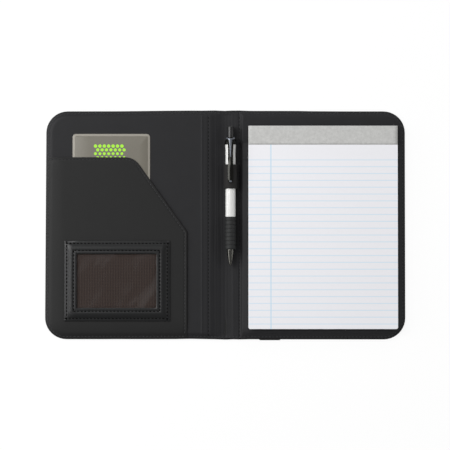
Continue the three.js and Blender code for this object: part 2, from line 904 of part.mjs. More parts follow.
// The lap stands proud at the foot, so the spread moves up by half of that to stay centred.
const group = new THREE.Group();
group.position.y = lapProud / 2;
group.add(
  part("back_leather", backLeather(), "leather"),
  part("back_foam", coverFoam(backCover), "foam"),
  part("back_board", coverBoard(backCover), "board"),
  part("back_lining", coverLining(backCover), "lining"),
  part("pad_sleeve", padSleeve(), "lining"),
  part("pad_backing", padBacking(), "board"),
  part("pad_sheets", padSheets(), "paper"),
  part("pad_header_tape", padHeaderTape(), "tape"),
  part("pad_top_leaf", padTopLeaf(), "paper"),
  part("spine_leather_back", spineLeather(middleFoldX, backFoldX), "leather"),
  part("spine_lining_back", spineLining(middleFoldX, backFoldX), "lining"),
  part("pen_loop", penLoop(), "loop"),
  part("spine_leather_front", spineLeather(frontFoldX, middleFoldX), "leather"),
  part("spine_lining_front", spineLining(frontFoldX, middleFoldX), "lining"),
  part("front_leather", coverLeather(frontCover), "leather"),
  part("front_foam", coverFoam(frontCover), "foam"),
  part("front_board", coverBoard(frontCover), "board"),
  part("front_lining", coverLining(frontCover), "lining"),
  part("pocket_panel", pocketPanel(), "lining"),
  part("pocket_card", pocketCard(), "card"),
  part("window_frame", windowFrame(), "leather"),
  part("window_frame_filler", windowFiller(), "foam"),
  part("window_film", windowFilm(), "film"),
  part("window_card", windowInsert(), "insert"),
  pen,
);

export default group;
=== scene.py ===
# %% [markdown]
# # A writing folio, opened flat
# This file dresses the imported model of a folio: two padded covers in coated leather, a soft spine
# that carries a click pen, a ruled pad in a sleeve, a diagonal pocket with a card, and a framed
# window. The frame is loaded first, and every piece below sits where the frame says.
# Each step has a cell of words and then a short cell of code. Sizes are in millimetres until a
# mesh is made, because that is how a maker of folios thinks; Blender gets metres.

# %% Load the frame
import json
import math
import random

import bmesh
import bpy
import numpy as np
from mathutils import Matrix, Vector
from mathutils.geometry import delaunay_2d_cdt


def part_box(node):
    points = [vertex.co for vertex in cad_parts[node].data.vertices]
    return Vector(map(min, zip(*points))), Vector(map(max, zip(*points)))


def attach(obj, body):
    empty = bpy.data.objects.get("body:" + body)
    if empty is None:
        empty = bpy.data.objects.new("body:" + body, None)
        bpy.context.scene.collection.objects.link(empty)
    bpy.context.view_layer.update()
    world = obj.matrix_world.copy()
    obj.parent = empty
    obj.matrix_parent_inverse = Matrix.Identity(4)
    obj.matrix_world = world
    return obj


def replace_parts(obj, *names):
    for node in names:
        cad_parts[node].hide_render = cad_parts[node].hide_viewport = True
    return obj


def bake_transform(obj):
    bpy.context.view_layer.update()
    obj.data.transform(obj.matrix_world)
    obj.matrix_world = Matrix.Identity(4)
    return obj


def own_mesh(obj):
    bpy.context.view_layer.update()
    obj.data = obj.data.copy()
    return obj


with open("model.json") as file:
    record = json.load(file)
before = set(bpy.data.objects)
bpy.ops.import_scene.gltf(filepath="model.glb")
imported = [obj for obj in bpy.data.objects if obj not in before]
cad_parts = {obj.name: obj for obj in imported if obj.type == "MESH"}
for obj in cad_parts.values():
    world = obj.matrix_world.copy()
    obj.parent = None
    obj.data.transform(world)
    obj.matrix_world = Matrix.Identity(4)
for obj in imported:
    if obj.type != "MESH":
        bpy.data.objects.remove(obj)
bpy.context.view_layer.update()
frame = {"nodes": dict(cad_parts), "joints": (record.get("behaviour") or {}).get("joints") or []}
random.seed(7)
print("nodes in the frame:", len(frame["nodes"]))

# %% [markdown]
# ## The camera first
# The folio was photographed from straight above through a long lens. Its foot is half a percent
# wider in the picture than its head, so the camera leans a little towards the foot. A long
# distance keeps the thick pad from growing in perspective.

# %% Camera
MM = 0.001
SENSOR = 36.0
PICTURE = 450.0            # the photograph shows 450 mm of table across
MIDDLE = 225.4             # the pixel, across and down, at which the frame's origin is seen
DISTANCE = 3000.0
FAR_CLIP = 20.0
LEAN = math.radians(2.4)
AIM = Vector((-0.22, 0.58, 2.0))

lens = bpy.data.cameras.new("camera")
lens.sensor_width = SENSOR
lens.lens = SENSOR * DISTANCE / PICTURE
lens.clip_end = FAR_CLIP
camera = bpy.data.objects.new("camera", lens)
bpy.context.scene.collection.objects.link(camera)
camera.location = AIM * MM + Vector((0, -math.sin(LEAN), math.cos(LEAN))) * DISTANCE * MM
camera.rotation_euler = (LEAN, 0, 0)
bpy.context.scene.camera = camera
print("lens", round(lens.lens, 1), "mm")

# %% [markdown]
# ## Measures from the frame
# The box of a node gives its lowest and highest corner. From a few boxes come the sizes that the
# soft pieces share: the spread, the three lines where the spine folds, and the heights of the
# layers at the sewn hem and over the board.

# %% Measures
def box(node):
    """Lowest and highest corner of a node, in millimetres."""
    low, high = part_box(node)
    return low / MM, high / MM


half_spread = box("back_leather")[1].x
foot, head = box("front_leather")[0].y, box("front_leather")[1].y
corner_radius = 21.5
folds = sorted((j["pos_m"][0] / MM for j in frame["joints"] if j["name"].endswith("_fold")), reverse=True)
back_fold, middle_fold, front_fold = folds
leather_thick = box("spine_leather_back")[1].z - box("spine_leather_back")[0].z
lining_thick = box("spine_lining_back")[1].z - box("spine_lining_back")[0].z
hem_low = box("spine_leather_back")[0].z
hem_top = box("spine_lining_back")[1].z
face = box("back_lining")[1].z
back_board_edge = box("back_board")[0].x
front_board_edge = box("front_board")[1].x
print("spread", round(2 * half_spread, 1), "folds", [round(f, 1) for f in folds], "face", round(face, 2))

# %% [markdown]
# ## Cutting flat pieces
# Leather, lining, card and paper are all cut from flat sheets, so one way of making serves them
# all. A shape is a list of corners with a radius each. Its edge is drawn again and again, each
# time a little further in, and the space inside is filled with a loose grid. Blender's Delaunay
# fill joins all these points into one clean flat mesh, and a height for each point then shapes the
# hem, the grooves and the padding. A grid alone would cut the round corners into stairs.

# %% Shapes and their edges
def corner_data(shape):
    """For each corner: its point, its radius, and the inward directions of the two sides there."""
    count = len(shape)
    inward = []
    for i in range(count):
        x0, y0, _ = shape[i]
        x1, y1, _ = shape[(i + 1) % count]
        length = math.hypot(x1 - x0, y1 - y0)
        inward.append((-(y1 - y0) / length, (x1 - x0) / length))
    return [(shape[i], inward[i - 1], inward[i]) for i in range(count)]


def edge_points(shape, inset=0.0, step=3.0, arc_step=9.0):
    """Points along the edge of a shape that is drawn in by inset, anticlockwise."""
    points = []
    for (x, y, radius), a, b in corner_data(shape):
        along = 1 + a[0] * b[0] + a[1] * b[1]
        if radius - inset < 0.05:
            points.append((x + inset * (a[0] + b[0]) / along, y + inset * (a[1] + b[1]) / along))
            continue
        middle = (x + radius * (a[0] + b[0]) / along, y + radius * (a[1] + b[1]) / along)
        start = math.atan2(-a[1], -a[0])
        turn = (math.atan2(-b[1], -b[0]) - start) % (2 * math.pi)
        steps = max(2, round(math.degrees(turn) / arc_step))
        for k in range(steps + 1):
            angle = start + turn * k / steps
            points.append((middle[0] + (radius - inset) * math.cos(angle),
                           middle[1] + (radius - inset) * math.sin(angle)))
    filled = []
    for (x0, y0), (x1, y1) in zip(points, points[1:] + points[:1]):
        parts = max(1, round(math.hypot(x1 - x0, y1 - y0) / step))
        filled += [(x0 + (x1 - x0) * k / parts, y0 + (y1 - y0) * k / parts) for k in range(parts)]
    return filled


def edge_distance(shape, x, y):
    """How far inside the shape each point lies, in millimetres."""
    x, y = np.asarray(x, float), np.asarray(y, float)
    distance = np.full(x.shape, 1e9)
    for (cx, cy, _), _, b in corner_data(shape):
        distance = np.minimum(distance, (x - cx) * b[0] + (y - cy) * b[1])
    for (cx, cy, radius), a, b in corner_data(shape):
        if radius > 0:
            along = radius / (1 + a[0] * b[0] + a[1] * b[1])
            dx, dy = x - cx - along * (a[0] + b[0]), y - cy - along * (a[1] + b[1])
            cross = a[0] * b[1] - a[1] * b[0]
            beyond_a = -(dx * b[1] - dy * b[0]) / cross
            beyond_b = (a[1] * dx - a[0] * dy) / cross
            in_corner = (beyond_a >= 0) & (beyond_b >= 0)
            distance = np.where(in_corner, radius - np.hypot(dx, dy), distance)
    return distance


square = [(0, 0, 0), (100, 0, 0), (100, 100, 0), (0, 100, 0)]
print("10 mm up in a square of 100 mm is", edge_distance(square, 50, 10), "mm inside")

# %% [markdown]
# ### Plans, cuts and soft steps
# Most plans are rectangles with round corners. A sheet that is cut across needs only the part of
# its edge between two cuts. All heights are built from two curves: a soft step, as where leather
# climbs on to a board, and a soft ridge or groove, as along a seam.

# %% Plans, cuts and soft steps
def rectangle(left, right, low, high, radius=0.0):
    return [(left, low, radius), (right, low, radius), (right, high, radius), (left, high, radius)]


def plan_of(low, high, radius=0.0):
    """The rectangle that a box covers, seen from above."""
    return rectangle(low.x, high.x, low.y, high.y, radius)


def open_lines(shape, insets, left, right, step=5.0):
    """For each inset, the part of the shape's edge that lies between two cuts, as an open line."""
    lines = []
    for inset in insets:
        ring = edge_points(shape, inset, step)
        kept = [left < x < right for x, _ in ring]
        first = next(i for i in range(len(ring)) if kept[i] and not kept[i - 1])
        line = [ring[(first + k) % len(ring)] for k in range(sum(kept))]
        near = left if abs(line[0][0] - left) < abs(line[0][0] - right) else right
        lines.append([(near, line[0][1]), *line, (near, line[-1][1])])
    return lines


def smooth(start, end, value):
    """0 before start, 1 after end, and a soft rise between them."""
    t = np.clip((np.asarray(value, float) - start) / (end - start), 0, 1)
    return t * t * (3 - 2 * t)


def bump_at(place, width, value):
    """A soft ridge of height 1 at a place."""
    return np.exp(-((np.asarray(value, float) - place) / width) ** 2)


print("halfway up a soft step:", float(smooth(0, 1, 0.5)))

# %% [markdown]
# ## From points to a mesh
# A mesh is a list of points and a list of faces that name their points. Every piece goes through
# the one function here, so that all of them are smoothed, welded and coated in the same way.

# %% A mesh from points
def make_piece(name, vertices, faces, material, flat=False, rim=()):
    """A mesh object from millimetre points, with one material. The edges named in rim stay crisp.

    Points in one place, as at the tip of a turned piece, are welded, so that no face is left empty.
    """
    mesh = bpy.data.meshes.new(name)
    mesh.from_pydata([Vector(v) * MM for v in vertices], [], faces)
    mesh.shade_flat() if flat else mesh.shade_smooth()
    if rim:
        crisp = {tuple(sorted(edge)) for edge in rim}
        for edge in mesh.edges:
            edge.use_edge_sharp = tuple(sorted(edge.vertices)) in crisp
    mesh.materials.append(material)
    welded = bmesh.new()
    welded.from_mesh(mesh)
    bmesh.ops.remove_doubles(welded, verts=welded.verts, dist=0.002 * MM)
    welded.to_mesh(mesh)
    welded.free()
    piece = bpy.data.objects.new(name, mesh)
    bpy.context.scene.collection.objects.link(piece)
    return piece


print("mesh maker ready")

# %% [markdown]
# ### A sheet cut to shape
# A real sheet has two faces and a cut edge. The flat mesh gives the plan, and a height for each
# point gives the upper face. The same plan, turned over, makes the lower face, and a narrow wall
# joins the two along the rim. This gives a closed body, as a thick piece of leather is.

# %% A sheet cut to shape
def thick_sheet(name, x, y, high, low, faces, rim, material):
    """A sheet from its plan: faces on top, their mirror below, and a wall along the crisp rim."""
    count = len(x)
    below = [tuple(i + count for i in reversed(face)) for face in faces]
    walls = [(b, a, a + count, b + count) for a, b in rim]
    crisp = [*rim, *((a + count, b + count) for a, b in rim)]
    points = [*zip(x, y, high), *zip(x, y, low)]
    return make_piece(name, points, [*faces, *below, *walls], material, rim=crisp)


def cut_sheet(name, shape, top, under, material, insets=(), cell=4.0, lines=(), hole=None, clear=0.0,
              pull=None):
    """A sheet cut to shape, with a height for its top and its underside at every point."""
    points, edges = [], []
    rings = [edge_points(shape, inset, step=cell) for inset in (0.0, *insets)]
    for ring in rings + ([hole] if hole else []):
        edges += [(len(points) + k, len(points) + (k + 1) % len(ring)) for k in range(len(ring))]
        points += ring
    for line in lines:
        edges += [(len(points) + k, len(points) + k + 1) for k in range(len(line) - 1)]
        points += line
    xs, ys = [c[0] for c in shape], [c[1] for c in shape]
    gx, gy = (g.ravel() for g in np.meshgrid(np.arange(min(xs) + cell / 2, max(xs), cell),
                                             np.arange(min(ys) + cell / 2, max(ys), cell)))
    inside = edge_distance(shape, gx, gy) > max((clear, *insets)) + 0.35 * cell
    points += list(zip(gx[inside], gy[inside]))
    flat, _, triangles, *_ = delaunay_2d_cdt([Vector(p) for p in points], edges, [], 0, 1e-5)
    x, y = np.array([v.x for v in flat]), np.array([v.y for v in flat])
    middle_x = np.array([x[list(t)].mean() for t in triangles])
    middle_y = np.array([y[list(t)].mean() for t in triangles])
    keep = edge_distance(shape, middle_x, middle_y) > 0
    if hole:
        hole_x, hole_y = zip(*hole)
        gap = rectangle(min(hole_x), max(hole_x), min(hole_y), max(hole_y))
        keep &= edge_distance(gap, middle_x, middle_y) < 0
    triangles = [tuple(t) for t, k in zip(triangles, keep) if k]
    used = sorted({i for t in triangles for i in t})
    new = {old: k for k, old in enumerate(used)}
    triangles = [tuple(new[i] for i in t) for t in triangles]
    x, y = x[used], y[used]
    high, low = top(x, y), under(x, y)
    x, y = pull(x, y) if pull else (x, y)
    sides = {(t[k], t[(k + 1) % 3]) for t in triangles for k in range(3)}
    rim = [(a, b) for a, b in sides if (b, a) not in sides]
    return thick_sheet(name, x, y, high, low, triangles, rim, material)


print("sheet maker ready")

# %% [markdown]
# ## Materials
# Each material starts from what the real one is. Colours are written as sRGB hex values, as a
# maker would read them from a swatch, and one function turns them to the linear values that
# Blender needs. One more small function adds a node with its settings and its links. Patterns are
# worked out in millimetres, because every material reads the place on its piece in millimetres.

# %% Colours and nodes
def linear(code):
    """An sRGB hex value as linear red, green, blue and alpha."""
    channels = [int(code[i:i + 2], 16) / 255 for i in (1, 3, 5)]
    return (*[c / 12.92 if c <= 0.04045 else ((c + 0.055) / 1.055) ** 2.4 for c in channels], 1.0)


def main_output(node):
    """The output that a node is mostly used for: its result, else its factor, else its first."""
    for name in ("Result", "Fac"):
        if name in node.outputs:
            return node.outputs[name]
    return node.outputs[0]


def add_node(material, kind, inputs=None, to=None, **settings):
    """Adds a node. A node or an output in inputs is linked to it, and its own output to a socket."""
    tree = material.node_tree
    node = tree.nodes.new("ShaderNode" + kind)
    for key, value in settings.items():
        setattr(node, key, value)
    for key, value in (inputs or {}).items():
        value = main_output(value) if isinstance(value, bpy.types.Node) else value
        if isinstance(value, bpy.types.NodeSocket):
            tree.links.new(value, node.inputs[key])
        else:
            node.inputs[key].default_value = value
    if to:
        tree.links.new(main_output(node), to)
    return node


print("the grey #808080 is", round(linear("#808080")[0], 3), "in linear light")

# %% [markdown]
# ### A material to start from
# Nearly every finish here is one Principled shader. What differs is the pattern that feeds it, so
# these helpers give the shader, the place in millimetres, and one way to lay a pattern on both the
# colour and the relief, which keeps the two in step as on a real surface.

# %% A material to start from
def new_material(name, **shader_inputs):
    """A material with a Principled shader, and the place on the piece in millimetres."""
    material = bpy.data.materials.new(name)
    material.use_nodes = True
    material.node_tree.nodes.clear()
    inputs = {key.replace("_", " "): value for key, value in shader_inputs.items()}
    shader = add_node(material, "BsdfPrincipled", inputs)
    add_node(material, "OutputMaterial", {"Surface": shader})
    place = add_node(material, "TexCoord").outputs["Object"]
    in_mm = add_node(material, "VectorMath", {0: place, 1: (1 / MM,) * 3}, operation="MULTIPLY")
    return material, shader, in_mm


def show(material, shader):
    """Lets the material's output show another shader than the one it was made with."""
    output = next(n for n in material.node_tree.nodes if n.type == "OUTPUT_MATERIAL")
    material.node_tree.links.new(main_output(shader), output.inputs["Surface"])


def lay_pattern(material, shader, pattern, dark, light, strength=0.0, depth=0.0):
    """Lays two tones on a surface by a pattern and, where strength is set, raises it by depth in mm."""
    add_node(material, "Mix", {"Factor": pattern, "A": linear(dark), "B": linear(light)},
             shader.inputs["Base Color"], data_type="RGBA")
    if strength:
        add_node(material, "Bump", {"Height": pattern, "Strength": strength, "Distance": depth * MM},
                 shader.inputs["Normal"])


print("material maker ready")

# %% [markdown]
# ### Coated leather
# Split leather with a black polyurethane coat, embossed with a fine pebble grain. The coat makes
# it smooth and a little glossy, so it shows light on every slope. The pebbles are about 0.7 mm
# across. The lining is the same stuff, thinner and more matt.

# %% Coated leather
def coated_leather(name, dark, light, roughness, grain, depth, ior):
    """Black coated leather: a slow change of tone, a pebble grain and fine pores."""
    material, shader, place = new_material(name, IOR=ior)
    drift = add_node(material, "TexNoise", {"Vector": place, "Scale": 1 / 14, "Detail": 3.0,
                                            "Roughness": 0.6})
    lay_pattern(material, shader, drift, dark, light)
    pebbles = add_node(material, "TexVoronoi", {"Vector": place, "Scale": 1 / grain, "Smoothness": 0.6},
                       feature="SMOOTH_F1")
    pores = add_node(material, "TexNoise", {"Vector": place, "Scale": 2.4 / grain, "Detail": 4.0})
    relief = add_node(material, "Math", {0: pores, 1: 0.5, 2: pebbles}, operation="MULTIPLY_ADD")
    add_node(material, "Bump", {"Height": relief, "Strength": 0.5, "Distance": depth * MM},
             shader.inputs["Normal"])
    add_node(material, "MapRange", {"Value": pores, "To Min": roughness - 0.05,
                                    "To Max": roughness + 0.08}, shader.inputs["Roughness"])
    return material


outer_leather = coated_leather("coated_leather", "#161616", "#1a1a1a", 0.56, 0.7, 0.05, 1.33)
lining_leather = coated_leather("lining_leather", "#19191b", "#1e1e20", 0.58, 0.6, 0.03, 1.33)
frame_leather = coated_leather("frame_leather", "#08090a", "#0d0e0f", 0.39, 0.6, 0.02, 1.42)
print("leathers made")

# %% [markdown]
# ### Thread, elastic, foam and boards
# The thread is black bonded polyester with a twist of about 0.75 mm. Round the edges, the pocket
# and the sleeve it is drawn dark blue-grey, lighter than black, as a painted sheen on the stitches;
# the rows beside the spine and the seams of the frame keep the black. The pen loop is woven elastic,
# ribbed every 0.55 mm. Inside the covers are grey foam and grey-brown board, which show only where
# the model is opened up, but they are finished too.

# %% Thread, elastic, foam and boards
WAVE = 0.314               # a wave texture's scale for bands that are one unit apart


def sewing_thread(name, colour, roughness, ior=1.5):
    """Twisted thread: its colour is even, and a slanting wave raises the twist."""
    material, shader, place = new_material(name, Base_Color=linear(colour), IOR=ior, Roughness=roughness)
    twist = add_node(material, "TexWave", {"Vector": place, "Scale": 0.5 / 0.6, "Distortion": 1.0},
                     bands_direction="DIAGONAL")
    add_node(material, "Bump", {"Height": twist, "Strength": 0.4, "Distance": 0.05 * MM},
             shader.inputs["Normal"])
    return material


# black thread drawn dark blue-grey: its lighter tone is a painted sheen on the stitches
thread = sewing_thread("black_thread_painted_sheen", "#1f2124", 0.5)
frame_thread = sewing_thread("waxed_black_thread", "#030303", 0.9, 1.2)

elastic, shader, place = new_material("woven_elastic", IOR=1.45, Roughness=0.8)
ribs = add_node(elastic, "TexWave", {"Vector": place, "Scale": WAVE / 0.55, "Distortion": 0.4,
                                     "Detail": 2.0}, bands_direction="Y")
lay_pattern(elastic, shader, ribs, "#11100f", "#181615", 0.5, 0.12)

foam, shader, place = new_material("polyurethane_foam", IOR=1.4, Roughness=0.95)
cells = add_node(foam, "TexVoronoi", {"Vector": place, "Scale": 1 / 0.5})
lay_pattern(foam, shader, cells, "#8c8c88", "#6c6c69")

board, shader, place = new_material("grey_chipboard", IOR=1.45, Roughness=0.9)
fibres = add_node(board, "TexNoise", {"Vector": place, "Scale": 1 / 1.2, "Detail": 6.0, "Roughness": 0.7})
lay_pattern(board, shader, fibres, "#86704f", "#a8977c", 0.4, 0.05)
print("thread, elastic, foam and board made")

# %% [markdown]
# ### Paper and tape
# The leaf is white wood-free paper with ruled lines in pale blue, printed 6.8 mm apart, and a
# margin line. The lines come from the place on the leaf: a point is on a line where its distance
# to the nearest one is under 0.3 mm. The sheets under it show their cut edges as fine stripes; 44
# sheets of 0.1 mm would be too fine to see, so the stripes are drawn 0.8 mm apart. The tape over
# the head is mottled grey crepe paper.

# %% Paper
RULE_PITCH = 6.82
FIRST_RULE = MIDDLE - 160.2
MARGIN_X = 271.0 - MIDDLE


def ruled_paper(name, white, shade):
    """White paper with rules from FIRST_RULE down, and a margin line."""
    material, shader, place = new_material(name, IOR=1.45, Roughness=0.75)
    fibres = add_node(material, "TexNoise", {"Vector": place, "Scale": 1 / 2.5, "Detail": 5.0})
    tone = add_node(material, "Mix", {"Factor": fibres, "A": linear(white), "B": linear(shade)},
                    data_type="RGBA")
    x, y, _ = add_node(material, "SeparateXYZ", {"Vector": place}).outputs
    from_first = add_node(material, "Math", {0: y, 1: -FIRST_RULE}, operation="ADD")
    # a scale of half the pitch folds the distance back and forth, so it is 0 on every rule
    from_rule = add_node(material, "Math", {0: from_first, 1: RULE_PITCH / 2}, operation="PINGPONG")
    rule = add_node(material, "MapRange", {"Value": from_rule, "From Min": 0.25, "From Max": 0.6,
                                           "To Min": 1.0, "To Max": 0.0})
    below = add_node(material, "Math", {0: y, 1: FIRST_RULE + 1.0}, operation="LESS_THAN")
    ruled = add_node(material, "Math", {0: rule, 1: below}, operation="MULTIPLY")
    sideways = add_node(material, "Math", {0: x, 1: MARGIN_X}, operation="SUBTRACT")
    from_margin = add_node(material, "Math", {0: sideways}, operation="ABSOLUTE")
    margin = add_node(material, "MapRange", {"Value": from_margin, "From Min": 0.3, "From Max": 0.7,
                                             "To Min": 1.0, "To Max": 0.0})
    with_rules = add_node(material, "Mix", {"Factor": ruled, "A": tone, "B": linear("#cfdfec")},
                          data_type="RGBA")
    add_node(material, "Mix", {"Factor": margin, "A": with_rules, "B": linear("#bcd6e8")},
             shader.inputs["Base Color"], data_type="RGBA")
    add_node(material, "Bump", {"Height": fibres, "Strength": 0.15, "Distance": 0.02 * MM},
             shader.inputs["Normal"])
    return material


leaf_paper = ruled_paper("ruled_paper", "#e6e6ea", "#e9e9ed")

stack_paper, shader, place = new_material("paper_stack", IOR=1.45, Roughness=0.8)
upward = add_node(stack_paper, "SeparateXYZ", {"Vector": place}).outputs["Z"]
layers = add_node(stack_paper, "CombineXYZ", {"Z": upward})
sheets = add_node(stack_paper, "TexWave", {"Vector": layers, "Scale": WAVE / 0.8,
                                           "Distortion": 0.5}, bands_direction="Z")
lay_pattern(stack_paper, shader, sheets, "#d4d5d9", "#eaebee")

tape, shader, place = new_material("crepe_binding_tape", IOR=1.45, Roughness=0.7)
clouds = add_node(tape, "TexNoise", {"Vector": place, "Scale": 1 / 2.6, "Detail": 8.0, "Roughness": 0.75})
mottle = add_node(tape, "MapRange", {"Value": clouds, "From Min": 0.3, "From Max": 0.7})
lay_pattern(tape, shader, mottle, "#aeaeac", "#c6c6c4")
add_node(tape, "Bump", {"Height": clouds, "Strength": 0.4, "Distance": 0.08 * MM},
         shader.inputs["Normal"])
print("papers made")

# %% [markdown]
# ### The cards and the film
# The grey card is matt laminated plastic, warm grey with a fine sandy tone. The card behind the
# window is brown cloth-finished card. Its threads are 0.5 mm apart on the real one, which is finer
# than a pixel, so they are drawn about 3 mm apart. The film is clear PVC: it hardly has a colour and
# shows a faint soft shine, so its shader is mostly see-through, and its mirror share is far lower
# than that of hard glass, or the card would drown in reflections of the lamps. Use has left long
# dull scuffs on it, which scatter about one percent of the light. Film and card lie a step below
# the lip of the frame, which casts a dark line on them.

# %% Cards and film
def sandy_plastic(name, dark, light):
    """Laminated plastic with a fine sandy tone."""
    material, shader, place = new_material(name, IOR=1.5, Roughness=0.5)
    sand = add_node(material, "TexNoise", {"Vector": place, "Scale": 1 / 0.8, "Detail": 3.0})
    lay_pattern(material, shader, sand, dark, light)
    return material


card_plastic = sandy_plastic("laminated_card", "#656157", "#706c62")
rim_plastic = sandy_plastic("polished_card_rim", "#87837a", "#918c82")
green_ink = sandy_plastic("green_print", "#9ad92a", "#a6e838")

insert_cloth, shader, place = new_material("cloth_finish_card", IOR=1.45, Roughness=0.7)
warp = add_node(insert_cloth, "TexWave", {"Vector": place, "Scale": WAVE / 2.6, "Distortion": 0.15},
                bands_direction="X")
weft = add_node(insert_cloth, "TexWave", {"Vector": place, "Scale": WAVE / 3.1, "Distortion": 0.8},
                bands_direction="Y")
weave = add_node(insert_cloth, "Math", {0: weft, 1: 0.45, 2: warp}, operation="MULTIPLY_ADD")
lay_pattern(insert_cloth, shader, weave, "#30211b", "#43332b", 0.1, 0.05)

film, _, place = new_material("clear_pvc_film")
ripple = add_node(film, "TexNoise", {"Vector": place, "Scale": 1 / 30, "Detail": 1.0})
bump = add_node(film, "Bump", {"Height": ripple, "Strength": 0.15, "Distance": 1.0 * MM})
mirror = add_node(film, "Fresnel", {"IOR": 1.12, "Normal": bump})
clear = add_node(film, "BsdfTransparent", {"Color": linear("#f4f5f6")})
shine = add_node(film, "BsdfGlossy", {"Roughness": 0.2, "Normal": bump})
clean_film = add_node(film, "MixShader", {0: mirror, 1: clear, 2: shine})
along_scuffs = add_node(film, "Mapping", {"Vector": place, "Rotation": (0, 0, -0.6), "Scale": (9, 40, 1)},
                        vector_type="TEXTURE")
scuffs = add_node(film, "TexNoise", {"Vector": along_scuffs, "Scale": 1.0, "Detail": 3.0,
                                     "Roughness": 0.45})
dull = add_node(film, "MapRange", {"Value": scuffs, "From Min": 0.5, "From Max": 0.72, "To Max": 0.012})
haze = add_node(film, "BsdfDiffuse", {"Color": (1, 1, 1, 1)})
show(film, add_node(film, "MixShader", {0: dull, 1: clean_film, 2: haze}))
print("cards and film made")

# %% [markdown]
# ### The pen's plastics and metals
# The barrel is moulded white ABS with a high polish, the button black ABS. The grip is soft black
# rubber, matt with a faint bloom. Cone and clip are dark chrome on brass: mirror-like, with fine
# polishing lines. A lighter copy of the clip's chrome is a painted highlight and reflection on its
# wedge, its ears and its dot. The refill is a brass tube in grey lacquer with a steel spring.

# %% Pen materials
def polished(name, colour, roughness, **more):
    """A hard shiny surface with a faint unevenness in its gloss."""
    material, shader, place = new_material(name, Base_Color=linear(colour), **more)
    haze = add_node(material, "TexNoise", {"Vector": place, "Scale": 1 / 1.5, "Detail": 4.0})
    add_node(material, "MapRange", {"Value": haze, "To Min": roughness * 0.8, "To Max": roughness * 1.3},
             shader.inputs["Roughness"])
    return material


white_abs = polished("white_abs", "#dcdcda", 0.16, IOR=1.7)
black_abs = polished("black_abs", "#0d0d0e", 0.34, IOR=1.5)
dark_chrome = polished("dark_chrome", "#2b2b29", 0.2, Metallic=1.0)
# the same chrome made lighter: a painted highlight and reflection for the clip's wedge, ears and dot
bright_chrome = polished("bright_chrome", "#6d7178", 0.36, Metallic=1.0)
gunmetal = polished("gunmetal_plate", "#5c5b57", 0.14, Metallic=1.0)
steel = polished("spring_steel", "#9a9c9e", 0.3, Metallic=1.0)
lacquer = polished("grey_lacquered_tube", "#6f7f96", 0.35, IOR=1.5)

rubber, shader, place = new_material("moulded_rubber", IOR=1.5, Roughness=0.7)
bloom = add_node(rubber, "TexNoise", {"Vector": place, "Scale": 1 / 0.9, "Detail": 5.0})
lay_pattern(rubber, shader, bloom, "#111212", "#181a1a", 0.3, 0.04)
print("pen materials made")

# %% [markdown]
# ## The covers and the spine
# On the real folio the outer leather is one sheet over both covers and the spine, and so is the
# lining. The covers are stiff and the spine bends in three lines, so each sheet is cut here into
# five: two stiff covers and three strips, one across each fold line. The covers ride on their
# bodies, and the strips stay where they are made. The cuts lie where nothing bends, so they don't show.

# %% Heights shared by all pieces of the spread
spread = rectangle(-half_spread, half_spread, foot, head, corner_radius)
STITCH_INSET = 2.6
LINING_INSET = 0.9
BACK_ROW, FRONT_ROW = 239.4 - MIDDLE, 208.6 - MIDDLE
cuts = [back_board_edge, (back_fold + middle_fold) / 2, (middle_fold + front_fold) / 2, front_board_edge]


def over_board(x, y, start, end, front_start=17.4, front_end=24.5):
    """1 over the stiff boards and 0 at the sewn hem and in the spine."""
    edge = smooth(start, end, edge_distance(spread, x, y))
    at_back = smooth(back_fold + 1.0, back_board_edge - 0.2, x)
    return edge * np.where(x > 0, at_back, smooth(front_start, front_end, -x))


streaks = [(random.uniform(1.7, 5.5), random.uniform(0.010, 0.026), random.uniform(0, 6.3),
            random.uniform(25, 60)) for _ in range(7)]


def spine_ridges(x, y):
    """The small folds that use has left along the spine, and the crease at its foot."""
    waver = 0.35 * np.sin(y / 31.0)
    ridges = 0.08 * bump_at(211.0 - MIDDLE + waver, 0.9, x)
    ridges -= 0.10 * bump_at(214.9 - MIDDLE + waver, 1.0, x)
    ridges += 0.05 * bump_at(218.0 - MIDDLE - waver, 1.6, x)
    ridges -= 0.60 * bump_at(226.0 - MIDDLE, 7.5, x)
    ridges += 0.14 * bump_at(233.6 - MIDDLE + 0.4 * waver, 1.3, x) * smooth(-35, -55, y)
    ridges -= 0.45 * bump_at(225.6 - MIDDLE + 0.02 * (y - foot), 0.8, x) * smooth(foot + 26, foot + 8, y)
    ridges += 0.24 * bump_at(202.2 - MIDDLE, 0.9, x)
    for wave, depth, phase, drift in streaks:
        turn = 2 * math.pi * x / wave + phase + np.sin(y / drift + phase)
        ridges += depth * np.sin(turn) * bump_at(-3.0, 15.0, x)
    return ridges


print("cuts at", [round(c, 1) for c in cuts], "and", len(streaks), "streaks")

# %% [markdown]
# ### Wear
# No side of a used folio is quite straight. The edge could be drawn wavy from the start, but then
# every hem and seam would have to follow it. It is simpler to make all sheets and stitches straight
# and to pull their finished points by one function.

# %% Wear
# how far the edge is pulled outward, in pairs of a place across the folio and a distance
HEAD_PULL = ((-155, 0), (-107, 0.1), (-83, 0.35), (-59, 0.65), (-35, 0.82), (-23, 0.75), (-11, 0.95),
             (0, 0.55), (6, 0.85), (14, 0.9), (25, 0.5), (73, 0.46), (85, 0.2), (121, 0))
FOOT_PULL = ((-120, 0), (-107, -0.1), (-83, 0), (-48, -0.1), (-35, -0.35), (-11, 0.07), (1, 0.43),
             (8, 0.15), (13, 0.3), (25, 0.1), (60, 0.2), (180, 0.25))


def worn(x, y):
    """Where use has pulled the cloth: the spine stands out at its head, and no side is quite straight."""
    up = np.interp(x, *zip(*HEAD_PULL)) * smooth(50, 112, y)
    down = np.interp(x, *zip(*FOOT_PULL)) * smooth(50, 112, -y)
    left = -0.0042 * y * smooth(120, 178, -x)
    right = 0.34 * smooth(120, 178, x)
    return x + right - left, y + up - down


